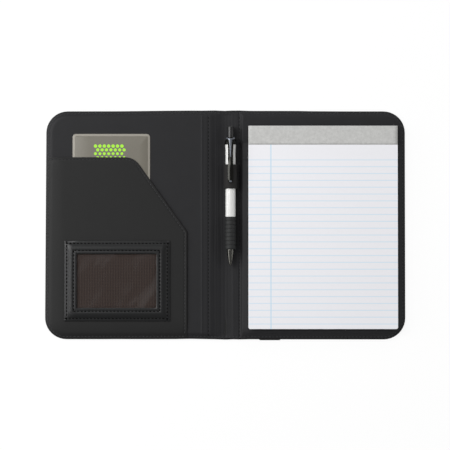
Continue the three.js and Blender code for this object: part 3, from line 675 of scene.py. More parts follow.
print("the head of the spine is pulled out by", max(pull for _, pull in HEAD_PULL), "mm")

# %% [markdown]
# ### The heights of the layers
# The lining and the outer leather lie on each other at the sewn hem and part over the boards. Each
# has one function for its top and one for its underside, and everything that is laid on the folio
# later asks the same functions how high it lies.

# %% Heights of the layers
def lining_height(x, y):
    """The top of the lining, before anything lies on it."""
    edge = edge_distance(spread, x, y)
    height = hem_top + (face - hem_top) * over_board(x, y, LINING_INSET, 6.2, 1.5, 21.0)
    height -= 0.22 * bump_at(STITCH_INSET, 0.45, edge)
    height -= 0.25 * (bump_at(BACK_ROW, 0.5, x) + bump_at(FRONT_ROW, 0.5, x))
    return height + spine_ridges(x, y) * smooth(1.5, 5.0, edge)


def lining_top(x, y):
    inside = edge_distance(spread, x, y) - LINING_INSET
    return lining_height(x, y) - 0.3 * (1 - smooth(-0.05, 0.5, inside))


def lining_under(x, y):
    return lining_height(x, y) - lining_thick


def leather_under(x, y):
    """The outside of the folio: flat under the boards, drawn up to the hem at its edge."""
    edge = edge_distance(spread, x, y)
    low = hem_low * (1 - over_board(x, y, 3.2, 9.0)) + 0.15 * bump_at(STITCH_INSET, 0.5, edge)
    return low + 0.5 * leather_thick * (1 - smooth(-0.1, 0.8, edge))


def leather_top(x, y):
    edge = edge_distance(spread, x, y)
    high = hem_low * (1 - over_board(x, y, 3.2, 9.0)) + leather_thick
    return high - 0.35 * leather_thick * (1 - smooth(-0.1, 0.7, edge))


print("the lining lies", round(float(lining_top(0, 0)), 2), "mm up in the middle of the spine")

# %% [markdown]
# ### Cutting the sheets
# Each cover is a fill between the folio's edge and a cut beside the spine. Rings close to the edge
# and lines close to the cut give the mesh the points that the rounded hem and the first fold need.

# %% Cutting the sheets of the spread
def part_of_spread(left, right, inset):
    """The part of the spread between two cuts, drawn in by inset at its free edges."""
    left_radius = corner_radius - inset if left <= -half_spread else 0.0
    right_radius = corner_radius - inset if right >= half_spread else 0.0
    left, right = max(left, -half_spread + inset), min(right, half_spread - inset)
    low, high = foot + inset, head - inset
    return [(left, low, left_radius), (right, low, right_radius), (right, high, right_radius),
            (left, high, left_radius)]


COVERS = [("back_cover", cuts[0], half_spread), ("front_cover", -half_spread, cuts[3])]
STRIPS = [("back_cover", "spine_back", cuts[1], cuts[0], back_fold),
          ("spine_back", "spine_front", cuts[2], cuts[1], middle_fold),
          ("spine_front", "front_cover", cuts[3], cuts[2], front_fold)]
BEND = 2.2


def bend_strip(piece):
    """Bakes the strip's place into its mesh; it rides on no body."""
    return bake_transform(piece)


def dress(piece, body, node=None):
    """Lets a piece ride on a body, and hides the node of the frame that it stands for."""
    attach(piece, body)
    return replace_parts(piece, node) if node else piece


hem_insets = (0.12, 0.3, 0.6, 1.0, 1.4, 1.9, 2.4, 3.0, 3.8, 4.8, 6.0, 7.6, 9.4)
LAYERS = [("outer_leather", 0.0, leather_top, leather_under, outer_leather),
          ("lining_leather", LINING_INSET, lining_top, lining_under, lining_leather)]
for cover, left, right in COVERS:
    name = cover.split("_")[0]
    cut, inward = (left, 1) if cover == "back_cover" else (right, -1)
    beside_cut = [[(cut + inward * s, y) for y in np.arange(foot + 1.2, head - 1.2, 3.1)]
                  for s in (0.4, 0.8, 1.3, 1.9, 2.7, 4.0)]
    for slot, inset, top, under, material in LAYERS:
        layer, node = ("outer_leather", "leather") if inset == 0 else ("cover_lining", "lining")
        lines = open_lines(spread, [inset + i for i in hem_insets], left, right)
        sheet = cut_sheet(f"{name}_{layer}", part_of_spread(left, right, inset), top, under, material,
                          cell=5.0, lines=lines + beside_cut, clear=hem_insets[-1], pull=worn)
        dress(sheet, cover, f"{name}_{node}")
        print(name, layer, len(sheet.data.polygons), "faces")

# %% [markdown]
# ### The strips across the folds
# A strip has to bend smoothly, so it is made on a grid of straight rows and columns, half a
# millimetre apart across the fold.

# %% The strips across the folds
def strip_sheet(name, columns, rows, top, under, material, pull):
    """A straight strip on a grid of columns and rows. It is finer than a fill, for cloth that folds."""
    gx, gy = (g.ravel() for g in np.meshgrid(columns, rows, indexing="ij"))
    tall, last = len(rows), (len(columns) - 1) * len(rows)
    faces = [(a, a + tall, a + tall + 1, a + 1)
             for i in range(len(columns) - 1) for a in range(i * tall, (i + 1) * tall - 1)]
    loop = [i * tall for i in range(len(columns))] + [last + j for j in range(1, tall)]
    loop += [i * tall + tall - 1 for i in range(len(columns) - 2, -1, -1)] + list(range(tall - 2, 0, -1))
    rim = list(zip(loop, loop[1:] + loop[:1]))
    return thick_sheet(name, *pull(gx, gy), top(gx, gy), under(gx, gy), faces, rim, material)


end_steps = np.array((0.0, 0.12, 0.3, 0.6, 1.0, 1.4, 1.9, 2.4, 3.0, 3.8, 4.8, 6.0, 7.5, 9.5))
for strip in STRIPS:
    _, _, left, right, fold = strip
    name = {back_fold: "back", middle_fold: "middle", front_fold: "front"}[fold]
    columns = np.linspace(left, right, round((right - left) / 0.45) + 1)
    for slot, inset, top, under, material in LAYERS:
        kind = "leather" if inset == 0 else "lining"
        low, high = foot + inset, head - inset
        between = np.arange(low + 12, high - 11, 3.0)
        rows = np.concatenate([low + end_steps, between, high - end_steps[::-1]])
        sheet = strip_sheet(f"spine_{kind}_{name}_fold", columns, rows, top, under, material, worn)
        bend_strip(sheet)
        if fold != middle_fold:
            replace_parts(sheet, f"spine_{kind}_{name}")
        print(name, "fold:", len(sheet.data.polygons), "faces of", kind)

# %% [markdown]
# ### The lap at the foot
# The edge of the leather is turned over a cord all round. The turned edge starts and ends at the
# foot of the back cover, where its end laps over its start and stands a millimetre proud. It is a
# short soft lozenge, made as a sheet of its own that swells in its middle.

# %% The lap
lap_low = box("back_leather")[0].y
lap_shape = [(34.5, lap_low, 0.6), (54.5, lap_low, 0.6), (56.2, foot + 1.6, 0.4), (32.8, foot + 1.6, 0.4)]


def lap_swell(x, y):
    edge = edge_distance(lap_shape, x, y)
    return 0.62 * np.sqrt(1 - (1 - np.clip(edge / 0.9, 0.02, 1)) ** 2)


LAP_MIDDLE = 1.55
lap = cut_sheet("turned_edge_lap", lap_shape, lambda x, y: LAP_MIDDLE + lap_swell(x, y),
                lambda x, y: LAP_MIDDLE - lap_swell(x, y), outer_leather,
                (0.1, 0.25, 0.45, 0.7, 0.95), 1.0)
dress(lap, "back_cover")
print("lap:", len(lap.data.polygons), "faces")

# %% [markdown]
# ### Foam and boards
# Under the outer leather lies a sheet of foam, and on it a board. The boards are stiff and keep
# their solids from the frame. The foam is soft, so it is cut again as a sheet with a pressed edge.

# %% Foam and boards
def level(height):
    """A flat top or underside."""
    return lambda x, y: np.full(len(x), height)


def coat_node(node, material):
    """Gives a solid of the frame that stays in view its finish."""
    solid = frame["nodes"][node]
    solid.data.materials.clear()
    solid.data.materials.append(material)
    return solid


PRESSED = 2.5              # the width of the foam's pressed edge
for name, radii in (("back", (0.0, 14.0, 14.0, 0.0)), ("front", (14.0, 0.0, 0.0, 14.0))):
    cover = f"{name}_cover"
    low, high = box(f"{name}_foam")
    foam_shape = [(x, y, radius) for (x, y, _), radius in zip(plan_of(low, high), radii)]

    def foam_under(x, y):
        pressed = 1 - smooth(0, PRESSED, edge_distance(foam_shape, x, y))
        return low.z + 0.02 + 0.5 * pressed

    layer = cut_sheet(f"{cover}_foam", foam_shape, level(high.z - 0.02), foam_under, foam,
                      (0.5, 1.2, PRESSED), 12.0)
    dress(layer, cover, f"{name}_foam")
    coat_node(f"{name}_board", board)
print("foam cut, boards coated")

# %% [markdown]
# ## The sleeve of the pad
# A sheet sewn to the back cover on three sides. The pad's backing stands in it, so it rises from
# the hem and lies higher over the backing. Its head edge is turned down by 16.5 mm and sewn.

# %% Sleeve
sleeve_head = box("pad_sleeve")[1].y
SLEEVE_THICK, SLEEVE_SEAM = 0.7, 15.2
sleeve_left, sleeve_right = back_fold + BEND + 0.2, half_spread - LINING_INSET
sleeve_foot = foot + LINING_INSET
sleeve_shape = [(sleeve_left, sleeve_foot, 0), (sleeve_right, sleeve_foot, corner_radius - LINING_INSET),
                (sleeve_right, sleeve_head, 0), (sleeve_left, sleeve_head, 0)]
sleeve_rise = box("pad_sleeve")[1].z - face - SLEEVE_THICK


def sleeve_height(x, y):
    """The top of the sleeve: sewn down at the hem, lifted where the backing stands in it."""
    edge = edge_distance(spread, x, y)
    lift = smooth(3.4, 6.6, edge) * smooth(sleeve_left + 0.2, sleeve_left + 7.6, x)
    height = lining_height(x, y) + SLEEVE_THICK + sleeve_rise * lift
    height += 0.22 * smooth(sleeve_head - 16.9, sleeve_head - 16.3, y)
    return height - 0.15 * bump_at(sleeve_head - SLEEVE_SEAM, 0.4, y)


def sleeve_top(x, y):
    return sleeve_height(x, y) - 0.3 * (1 - smooth(0, 0.6, edge_distance(sleeve_shape, x, y)))


sleeve = cut_sheet("pad_sleeve_sheet", sleeve_shape, sleeve_top, lambda x, y: sleeve_height(x, y) - 0.65,
                   lining_leather, (0.2, 0.45, 0.9, 1.5, 2.1, 3.0, 4.2, 5.6, 7.0), 5.0, pull=worn,
                   lines=[[(sleeve_left, sleeve_head - s), (sleeve_right, sleeve_head - s)]
                          for s in (14.6, SLEEVE_SEAM, 15.8, 16.3, 16.6, 16.9)])
dress(sleeve, "back_cover", "pad_sleeve")
print("sleeve:", len(sleeve.data.polygons), "faces")

# %% [markdown]
# ## The diagonal pocket
# A panel sewn to the front cover at its left and at its foot. Its head, its diagonal and its right
# side are open edges, turned and stitched 2.4 mm in, and stand free over the lining so that a card
# slides in. The padding of the cover makes it swell a little in its middle.

# %% Pocket
panel_low, panel_high = box("pocket_panel")
PANEL_THICK, POCKET_SEAM = 0.8, 2.4
HEM_WIDTH = 4.0            # nearer to the edge of the folio than this, the panel is sewn down
pocket_shape = [(panel_low.x, panel_low.y, corner_radius - LINING_INSET), (panel_high.x, panel_low.y, 0),
                (panel_high.x, -6.3, 5.0), (-91.2, panel_high.y, 18.0), (panel_low.x, panel_high.y, 0)]


def panel_height(x, y):
    lift = smooth(3.4, 15.0, edge_distance(spread, x, y))
    return lining_height(x, y) + PANEL_THICK + (panel_high.z - face - PANEL_THICK) * lift


def panel_top(x, y):
    edge = edge_distance(pocket_shape, x, y)
    free = edge_distance(spread, x, y) > HEM_WIDTH
    height = panel_height(x, y) - 0.35 * (1 - smooth(0, 0.7, edge))
    return height - np.where(free, 0.22 * bump_at(POCKET_SEAM, 0.45, edge), 0)


pocket = cut_sheet("pocket_panel_sheet", pocket_shape, panel_top,
                   lambda x, y: panel_height(x, y) - PANEL_THICK + 0.03, outer_leather,
                   (0.15, 0.35, 0.7, 1.2, 1.7, 2.1, POCKET_SEAM, 2.7, 3.2, 4.2, 5.6, 7.2), 5.0, pull=worn)
dress(pocket, "front_cover", "pocket_panel")
print("pocket:", len(pocket.data.polygons), "faces")

# %% [markdown]
# ## The padded frame of the window
# Four sides of glossy leather over a strip of foam, sewn along both edges of the strip. The seam
# lines are pressed grooves that run out through the corners, and the foam swells between them. It
# is one sheet with a hole, whose height follows the distance to its outer edge. The mitre lines at
# the corners are drawn into the mesh, so that the swelling turns the corner in a clean ridge.

# %% Window frame
frame_low, frame_high = box("window_frame")
frame_base = frame_low.z
# the outside and the opening, as left, right, low and high: the sides of the real frame aren't equal
OUTSIDE = (frame_low.x + 0.6, frame_high.x - 0.35, frame_low.y + 0.7, frame_high.y)
OPENING = (-148.2, -68.7, -82.4, -28.5)
BAND = 12.6
OUTER_SEAM, INNER_SEAM = 2.6, 9.4
MOUTH, MOUTH_HALF = 0.62, 44.3
SIDE_PARTS = 14
NO_GRID = 200.0            # a cell larger than the frame, so that only the drawn lines make the mesh
mouth_middle = (box("window_card")[0].x + box("window_card")[1].x) / 2


def ring_inset(x, y):
    """Distance to the frame's outer edge, stretched so that the opening lies at BAND on all sides."""
    sides = [np.abs(value - out) * BAND / abs(inner - out)
             for value, out, inner in zip((x, x, y, y), OUTSIDE, OPENING)]
    return np.minimum(sides[0], sides[1]), np.minimum(sides[2], sides[3])


def way_out(x, y):
    """1 under the head side of the frame, where the brown card slides out, and 0 elsewhere."""
    beside = 1 - smooth(MOUTH_HALF, MOUTH_HALF + 0.3, np.abs(x - mouth_middle))
    return beside * smooth(OPENING[2] + 20, OPENING[2] + 21, y)


def frame_top(x, y):
    across, along = ring_inset(x, y)
    inset = np.minimum(across, along)
    t = np.clip((inset - OUTER_SEAM) / (INNER_SEAM - OUTER_SEAM), 0, 1)
    swell = np.sin(0.5 * math.pi * np.clip(t / 0.8, 0, 1)) ** 0.9
    height = 1.55 + 1.5 * swell * (1 - 0.1 * smooth(0.8, 1, t))
    height -= 0.1 * bump_at(OUTER_SEAM, 0.5, across) + 0.1 * bump_at(OUTER_SEAM, 0.5, along)
    height -= 0.08 * bump_at(INNER_SEAM, 0.45, inset)
    height -= 0.4 * (1 - smooth(0, 2.4, inset)) + 0.5 * (1 - smooth(-0.3, 0.35, inset))
    height += 0.15 * bump_at(BAND - 1.3, 0.9, inset) - 0.3 * smooth(BAND - 0.5, BAND + 0.1, inset)
    height += 0.25 * way_out(x, y) * (1 - smooth(0, 2.2, inset))
    return frame_base + np.maximum(height, 0.35)


def frame_under(x, y):
    """The skin is hollow over the foam, steps up over the card, and is open where the card comes out."""
    inset = np.minimum(*ring_inset(x, y))
    low = np.maximum(0.74 * smooth(BAND - 4.2, BAND - 3.4, inset), MOUTH * way_out(x, y))
    hollow = smooth(3.4, 4.2, inset) * (1 - smooth(7.8, 8.6, inset))
    return frame_base + 0.02 + np.maximum(low, (frame_top(x, y) - frame_base - 0.75) * hollow)


on_band = np.array([(OUTSIDE[0] + OPENING[0]) / 2]), np.array([(OPENING[2] + OPENING[3]) / 2])
print("the frame swells to", round(float(frame_top(*on_band)[0]), 2), "mm above the table")

# %% [markdown]
# ### The mesh of the frame
# A grid would blur the pressed seams, so the frame has none. Its points lie on rectangles that are
# nested between the outside and the opening, closest where the height changes fast.

# %% The mesh of the frame
frame_insets = (0.15, 0.35, 0.7, 1.2, 1.7, 2.1, 2.35, 2.6, 2.85, 3.1, 3.5, 4.2, 5.0, 5.8, 6.8, 7.8,
                8.5, 9.0, 9.3, 9.6, 9.9, 10.3, 11.0, 11.6, 11.9, 12.2, 12.4)


def ring_line(inset):
    """A rectangle inside the frame, nearer to the opening by inset, in SIDE_PARTS points a side."""
    left, right, low, high = (out + (inner - out) * inset / BAND for out, inner in zip(OUTSIDE, OPENING))
    corners = [(left, low), (right, low), (right, high), (left, high)]
    return [(x0 + (x1 - x0) * k / SIDE_PARTS, y0 + (y1 - y0) * k / SIDE_PARTS)
            for (x0, y0), (x1, y1) in zip(corners, corners[1:] + corners[:1]) for k in range(SIDE_PARTS)]


def ring_lines(insets):
    return [ring_line(inset) + ring_line(inset)[:1] for inset in insets]


mitres = [[(OUTSIDE[i], OUTSIDE[j]), (OPENING[i], OPENING[j])] for i in (0, 1) for j in (2, 3)]
run_outs = []              # where the seams run out through the corners
for ox, sx in ((OUTSIDE[0], 1), (OUTSIDE[1], -1)):
    for oy, sy in ((OUTSIDE[2], 1), (OUTSIDE[3], -1)):
        for s in (1.9, 2.3, OUTER_SEAM, 2.9, 3.3):
            run_outs += [[(ox + sx * s, oy), (ox + sx * s, oy + sy * 4)],
                         [(ox, oy + sy * s), (ox + sx * 4, oy + sy * s)]]
mouth_ends = [[(mouth_middle + side * x, OPENING[3]), (mouth_middle + side * x, OUTSIDE[3])]
              for x in (MOUTH_HALF, MOUTH_HALF + 0.3) for side in (-1, 1)]
window = cut_sheet("padded_window_frame", rectangle(*OUTSIDE), frame_top, frame_under, frame_leather,
                   lines=ring_lines(frame_insets) + mitres + run_outs + mouth_ends, hole=ring_line(BAND),
                   cell=NO_GRID)
dress(window, "front_cover", "window_frame")
print("window frame:", len(window.data.polygons), "faces")

# %% [markdown]
# ### The filler and the film
# A ring of foam fills the frame between its two seams, and leaves the mouth free for the card. The
# film is held at its edges and bows up a little between them.

# %% Filler and film
FILLER_START, FILLER_END = 3.8, 8.2


def filler_top(x, y):
    inset = np.minimum(*ring_inset(x, y))
    t = np.clip((inset - FILLER_START) / (FILLER_END - FILLER_START), 0, 1)
    edge = 0.3 + 0.5 * way_out(x, y)
    return frame_base + edge + (1.75 - edge) * np.sin(math.pi * t) ** 0.6


filler = cut_sheet("window_frame_foam", [(x, y, 0.0) for x, y in ring_line(FILLER_START)[::SIDE_PARTS]],
                   filler_top, lambda x, y: frame_base + 0.04 + MOUTH * way_out(x, y), foam, cell=NO_GRID,
                   lines=ring_lines((4.4, 5.0, 6.0, 7.0, 7.6)) + mouth_ends, hole=ring_line(8.1))
dress(filler, "front_cover", "window_frame_filler")

film_low, film_high = box("window_film")
film_shape = plan_of(film_low, film_high)


def film_top(x, y):
    return film_high.z - 0.27 + 0.2 * smooth(4, 22, edge_distance(film_shape, x, y))


film_sheet = cut_sheet("window_clear_film", film_shape, film_top, lambda x, y: film_top(x, y) - 0.2, film)
dress(film_sheet, "front_cover", "window_film")
print("filler and film:", len(filler.data.polygons), "and", len(film_sheet.data.polygons), "faces")

# %% [markdown]
# ## Rings joined into a body
# Printed dots, blocks of paper, bent tape, wire, thread and turned plastic are all made in the same
# way: a row of rings with the same count of points, and faces between each ring and the next. The
# first and the last ring are closed with a cap, or joined to each other.

# %% Rings
def circle(count):
    """Cosine and sine at equal steps round a circle."""
    return [(math.cos(a), math.sin(a)) for a in np.arange(count) * 2 * math.pi / count]


def merged(parts):
    """The points and faces of several parts as one list of each."""
    points, faces = [], []
    for more_points, more_faces in parts:
        faces += [tuple(i + len(points) for i in face) for face in more_faces]
        points += more_points
    return points, faces


def joined(rows, caps=True, closed=False, flip=False):
    """Points and faces of rings with the same count of points, each ring joined to the next."""
    count, last = len(rows[0]), len(rows) - 1
    pairs = [(a, a + 1) for a in range(last)] + ([(last, 0)] if closed else [])
    faces = [(a * count + k, a * count + (k + 1) % count, b * count + (k + 1) % count, b * count + k)
             for a, b in pairs for k in range(count)]
    if caps:
        faces += [tuple(reversed(range(count))), tuple(last * count + k for k in range(count))]
    return [p for row in rows for p in row], [face[::-1] if flip else face for face in faces]


print("steps of a circle of four:", [(round(c), round(s)) for c, s in circle(4)])

# %% [markdown]
# ## The two cards
# The grey card stands in the pocket. Its face is raised a little above a bright rim, with round
# corners, and it is printed with a field of round green dots, half hidden by the pocket, as any
# swatch card might be. The brown card lies behind the window, bare.

# %% Cards
card_low, card_high = box("pocket_card")
card_shape = plan_of(card_low, card_high, 3.5)
RIM_WIDTH = 2.2


def card_top(x, y):
    edge = edge_distance(card_shape, x, y)
    return card_high.z - 0.32 * (1 - smooth(1.9, 2.6, edge)) - 0.2 * (1 - smooth(0, 0.5, edge))


card = cut_sheet("grey_pocket_card", card_shape, card_top, level(card_low.z), card_plastic,
                 (0.12, 0.3, 0.5, 1.9, 2.1, 2.3, 2.6), 12.0)
card.data.materials.append(rim_plastic)
for polygon in card.data.polygons:
    if edge_distance(card_shape, [polygon.center.x / MM], [polygon.center.y / MM])[0] < RIM_WIDTH:
        polygon.material_index = 1
dress(card, "pocket_card", "pocket_card")

DOT_FIELD = (-129.7, 79.4)           # the middle of the first dot
DOT_STEP, ROW_STEP = 4.4, 3.8
dots = []
for row in range(6):
    for column in range(7):
        x, y = DOT_FIELD[0] + (column + row % 2 / 2) * DOT_STEP, DOT_FIELD[1] - row * ROW_STEP
        radius = 1.75 - 0.14 * row
        dots.append(joined([[(x + radius * c, y + radius * s, card_high.z + lift) for c, s in circle(16)]
                            for lift in (0.004, 0.03)]))
dot_print = make_piece("green_dots", *merged(dots), green_ink, flat=True)
dress(dot_print, "pocket_card")

insert_low, insert_high = box("window_card")
insert_shape = plan_of(insert_low, insert_high, 0.8)


def insert_top(x, y):
    return insert_high.z - 0.1 * (1 - smooth(0, 0.4, edge_distance(insert_shape, x, y)))


insert = cut_sheet("brown_window_card", insert_shape, insert_top, level(insert_low.z), insert_cloth,
                   (0.15, 0.4), 10.0)
dress(insert, "window_card", "window_card")
print("cards made, with", len(dots), "dots")

# %% [markdown]
# ## The writing pad
# A chipboard backing, a block of sheets glued at its head, a strip of tape folded over the head,
# and the top leaf on its own so that it can turn. Paper is never quite flat or quite square: the
# block's sides waver by a tenth of a millimetre, and the leaf lifts a hair at its foot corners.

# %% Pad
pad_low, pad_high = box("pad_sheets")
leaf_low, leaf_high = box("pad_top_leaf")
TRIM, TRIM_LEFT = 0.5, 0.3           # paper shrinks a little; the backing keeps the full size
LEVELS = 9                           # rings of points up the side of the block


def paper_shape(low, high):
    """The plan of the sheets in a box, a little smaller, with round corners at the foot."""
    plan = rectangle(low.x + TRIM_LEFT, high.x - TRIM, low.y, high.y - TRIM)
    return [(x, y, 2.0 if y < 0 else 0.0) for x, y, _ in plan]


def block_row(step):
    """One ring round the block, a touch in or out. The lowest steps up where the sleeve lies under it."""
    ring = edge_points(pad_shape, 0.02 + 0.16 * random.random(), 4.0, 18.0)[:ring_count]
    lows = [over_sleeve if y < sleeve_head + 0.6 else pad_low.z for _, y in ring]
    return [(x, y, low + (pad_high.z - low) * step / (LEVELS - 1)) for (x, y), low in zip(ring, lows)]


pad_shape = paper_shape(pad_low, pad_high)
ring_count = len(edge_points(pad_shape, 0.3, 4.0, 18.0))
over_sleeve = box("pad_sleeve")[1].z + 0.1
block_points, block_faces = joined([block_row(step) for step in range(LEVELS)])
block = make_piece("pad_sheet_block", block_points, block_faces, stack_paper, flat=True)
block.data.materials.append(leaf_paper)
for polygon in block.data.polygons:
    if polygon.normal.z > 0.9:
        polygon.material_index = 1
dress(block, "pad", "pad_sheets")


def leaf_lift(x, y):
    corner_x = np.abs(x - (leaf_low.x + leaf_high.x) / 2) / ((leaf_high.x - leaf_low.x) / 2)
    return 0.25 * corner_x ** 6 * smooth(leaf_low.y + 30, leaf_low.y, y)


leaf = cut_sheet("ruled_top_leaf", paper_shape(leaf_low, leaf_high),
                 lambda x, y: leaf_high.z + leaf_lift(x, y),
                 lambda x, y: leaf_low.z + 0.05 + leaf_lift(x, y), leaf_paper, cell=6.0)
dress(leaf, "top_leaf", "pad_top_leaf")
print("block:", len(block.data.polygons), "faces; leaf:", len(leaf.data.polygons), "faces")

# %% [markdown]
# ### The tape and the backing
# The tape is a bent section, drawn once and repeated across the head. The backing is plain board.

# %% The tape over the head, and the backing
tape_low, tape_high = box("pad_header_tape")
tape_foot, tape_head = tape_low.y - TRIM, tape_high.y - TRIM
TAPE_THICK, TAPE_BEND, TAPE_COLUMNS = 0.22, 0.5, 41
outside = [(tape_foot, tape_high.z - 0.12), *((tape_foot + 2.0 * k, tape_high.z) for k in range(1, 9))]
bend_y, bend_z = tape_head - TAPE_BEND, tape_high.z - TAPE_BEND
outside += [(bend_y + TAPE_BEND * math.sin(a), bend_z + TAPE_BEND * math.cos(a))
            for a in np.linspace(0, math.pi / 2, 6)]
inside = [(y - (TAPE_THICK if y > tape_head - 0.6 else 0), z - TAPE_THICK) for y, z in outside]
ends = [(tape_head, tape_low.z + 0.02), (tape_head - TAPE_THICK, tape_low.z + 0.02)]
section = outside + ends + inside[::-1]
tape_rows = [[(x, y, z) for y, z in section]
             for x in np.linspace(tape_low.x + TRIM_LEFT, tape_high.x - TRIM, TAPE_COLUMNS)]
binding = make_piece("crepe_header_tape", *joined(tape_rows), tape)
dress(binding, "pad", "pad_header_tape")

backing_low, backing_high = box("pad_backing")
backing_shape = rectangle(backing_low.x + 0.5, backing_high.x - 0.7,
                          backing_low.y + 0.1, backing_high.y - 0.7)
backing = cut_sheet("chipboard_backing", backing_shape, level(backing_high.z - 0.01),
                    level(backing_low.z + 0.01), board, (0.3,), 20.0)
dress(backing, "pad", "pad_backing")
print("pad made")

# %% [markdown]
# ## The click pen
# The pen's hard pieces are turned on a lathe or moulded round, so each is a profile turned about
# the pen's axis with 64 steps, far finer than the frame's solids. The profiles repeat the frame's
# sizes and add what a mould leaves: rounded lips, ribs with round crests and a crisp parting ring.

# %% Turning
pen_axis = (box("pen_grip")[0] + box("pen_grip")[1]) / 2
TURNS = 64


def turned(name, profile, material, body, node):
    """A profile of (radius, y) turned about the pen's axis, closed where it meets itself."""
    closed = profile[0] == profile[-1]
    rows = [[(pen_axis.x + radius * c, y, pen_axis.z + radius * s) for c, s in circle(TURNS)]
            for radius, y in (profile[:-1] if closed else profile)]
    dress(make_piece(name, *joined(rows, caps=False, closed=closed), material), body, node)


def rounded(points, radius=0.25, steps=4):
    """The same profile with its sharp corners rounded off."""
    result = [points[0]]
    for before, here, after in zip(points, points[1:], points[2:]):
        here, a, b = Vector(here), Vector(before) - Vector(here), Vector(after) - Vector(here)
        reach = min(radius, 0.45 * a.length, 0.45 * b.length)
        if reach < 0.02 or a.angle(b, math.pi) > math.radians(165):
            result.append(tuple(here))
            continue
        start, end = here + a.normalized() * reach, here + b.normalized() * reach
        for k in range(steps + 1):
            t = k / steps
            result.append(tuple(start * (1 - t) ** 2 + here * 2 * t * (1 - t) + end * t * t))
    return result + [points[-1]]


print("the pen lies", round(pen_axis.z, 2), "mm above the table")

# %% [markdown]
# ### Barrel and grip
# The barrel is one profile, out along its wall and back through its bore. It flares to a rounded
# mouth where the clip sits. The rubber grip is pushed over its core, and the ribs that stop a
# finger are round crests. The real ribs are finer; they are drawn wide enough to show.

# %% Barrel and grip
barrel_low, barrel_high = box("pen_barrel")
grip_low, grip_high = box("pen_grip")
cone_low, cone_high = box("pen_cone")
button_low, button_high = box("pen_button")
barrel_top = barrel_high.y
turned("white_barrel", rounded([
    (3.1, barrel_low.y), (3.9, barrel_low.y), (3.9, grip_high.y + 0.1), (5.0, grip_high.y + 0.1),
    (5.0, barrel_top - 22), (5.03, barrel_top - 14), (5.08, barrel_top - 10), (5.3, barrel_top - 6),
    (5.5, barrel_top - 3), (5.0, barrel_top - 1.5), (4.2, barrel_top), (3.5, barrel_top),
    (3.5, barrel_top - 2), (3.9, barrel_top - 2), (3.9, grip_high.y + 3), (3.1, grip_high.y + 2),
    (3.1, barrel_low.y)]), white_abs, "pen", "pen_barrel")

RIBS = 8
pitch = (grip_high.y - grip_low.y) / RIBS
crest = []
for rib in range(RIBS):
    for t in np.linspace(0.06, 0.94, 12):
        swell = 0.45 * (1 - abs(2 * t - 1) ** 4) if 0.1 < t < 0.9 else 0.0
        crest.append((4.93 + swell, grip_low.y + (rib + t) * pitch))
turned("ribbed_grip", [
    (4.02, grip_low.y), (4.7, grip_low.y), (4.9, grip_low.y + 0.15), *crest, (4.9, grip_high.y - 0.15),
    (4.7, grip_high.y), (4.02, grip_high.y), (4.02, grip_low.y)],
    rubber, "pen", "pen_grip")

print("barrel and grip turned, with", RIBS, "ribs")

# %% [markdown]
# ### Cone, button and refill
# The cone bulges a little and holds the spring's seat. The button has a flange that keeps it in the
# barrel, and a round head. The tube of the refill is seen only as a plain rod, so the frame's own
# solid stays and gets its lacquer.

# %% Cone, button and refill
cone_mouth = grip_low.y - 0.1
cone_side = []
for t in np.linspace(0, 1, 13):
    radius = 1.15 + (3.7 - 1.15) * t + 0.5 * math.sin(math.pi * t)
    cone_side.append((radius, cone_low.y + (cone_mouth - cone_low.y) * t))
turned("metal_cone", [
    (0.8, cone_low.y + 0.1), (0.95, cone_low.y), (1.1, cone_low.y + 0.03), *cone_side[1:-1],
    (3.75, cone_mouth - 0.25), (3.7, cone_mouth), (3.0, cone_mouth), (3.0, cone_high.y),
    (2.45, cone_high.y), (2.45, cone_mouth - 8.8), (1.45, cone_mouth - 8.8), (1.45, cone_low.y + 2.3),
    (0.8, cone_low.y + 1.7), (0.8, cone_low.y + 0.1)], gunmetal, "pen", "pen_cone")

stem_top = button_low.y + 6.0
flange_top = stem_top + 6.0
turned("push_button", rounded([
    (0.0, button_low.y), (1.5, button_low.y), (1.5, stem_top), (3.6, stem_top), (3.6, flange_top),
    (3.2, flange_top), (3.2, button_high.y - 1.1), (2.9, button_high.y - 0.3),
    (2.2, button_high.y - 0.02), (0.0, button_high.y)]),
    black_abs, "button", "pen_button")
tip_low, tip_high = box("pen_refill_tip")
turned("ball_point", [
    (0.0, tip_low.y), (0.2, tip_low.y + 0.03), (0.32, tip_low.y + 0.2), (0.3, tip_low.y + 0.35),
    (0.55, tip_low.y + 1.2), (0.55, tip_low.y + 6.4), (1.2, tip_low.y + 7.0), (1.2, tip_high.y),
    (0.0, tip_high.y)], steel, "refill", "pen_refill_tip")
coat_node("pen_refill_tube", lacquer).data.shade_smooth()
print("pen turned")

# %% [markdown]
# ### The return spring
# Nine curls of steel wire between the cone's seat and the collar of the refill. It is a thin round
# section swept along a helix. A press moves the refill 5.5 mm, and the spring gets shorter by as
# much; on the real pen it is squashed towards the collar, so its foot stays on the seat. Here it
# rides on the refill, with a mesh of its own.

# %% Return spring
spring_low, spring_high = box("pen_spring")
free_length = spring_high.y - spring_low.y
WIRE, COIL, CURLS, CURL_STEPS, PRESS = 0.22, 1.95, 9, 16, 5.5
spring_rows = []
for k in range(CURLS * CURL_STEPS + 1):
    angle = 2 * math.pi * k / CURL_STEPS
    height = spring_low.y + WIRE + (free_length - 2 * WIRE) * k / (CURLS * CURL_STEPS)
    spring_rows.append([(pen_axis.x + (COIL + WIRE * c) * math.cos(angle), height + WIRE * s,
                         pen_axis.z + (COIL + WIRE * c) * math.sin(angle)) for c, s in circle(8)])
spring = make_piece("coil_return_spring", *joined(spring_rows), steel)
dress(spring, "refill", "pen_spring")
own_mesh(spring)
print("spring:", round(free_length, 1), "mm, pressed to", round(free_length - PRESS, 1))

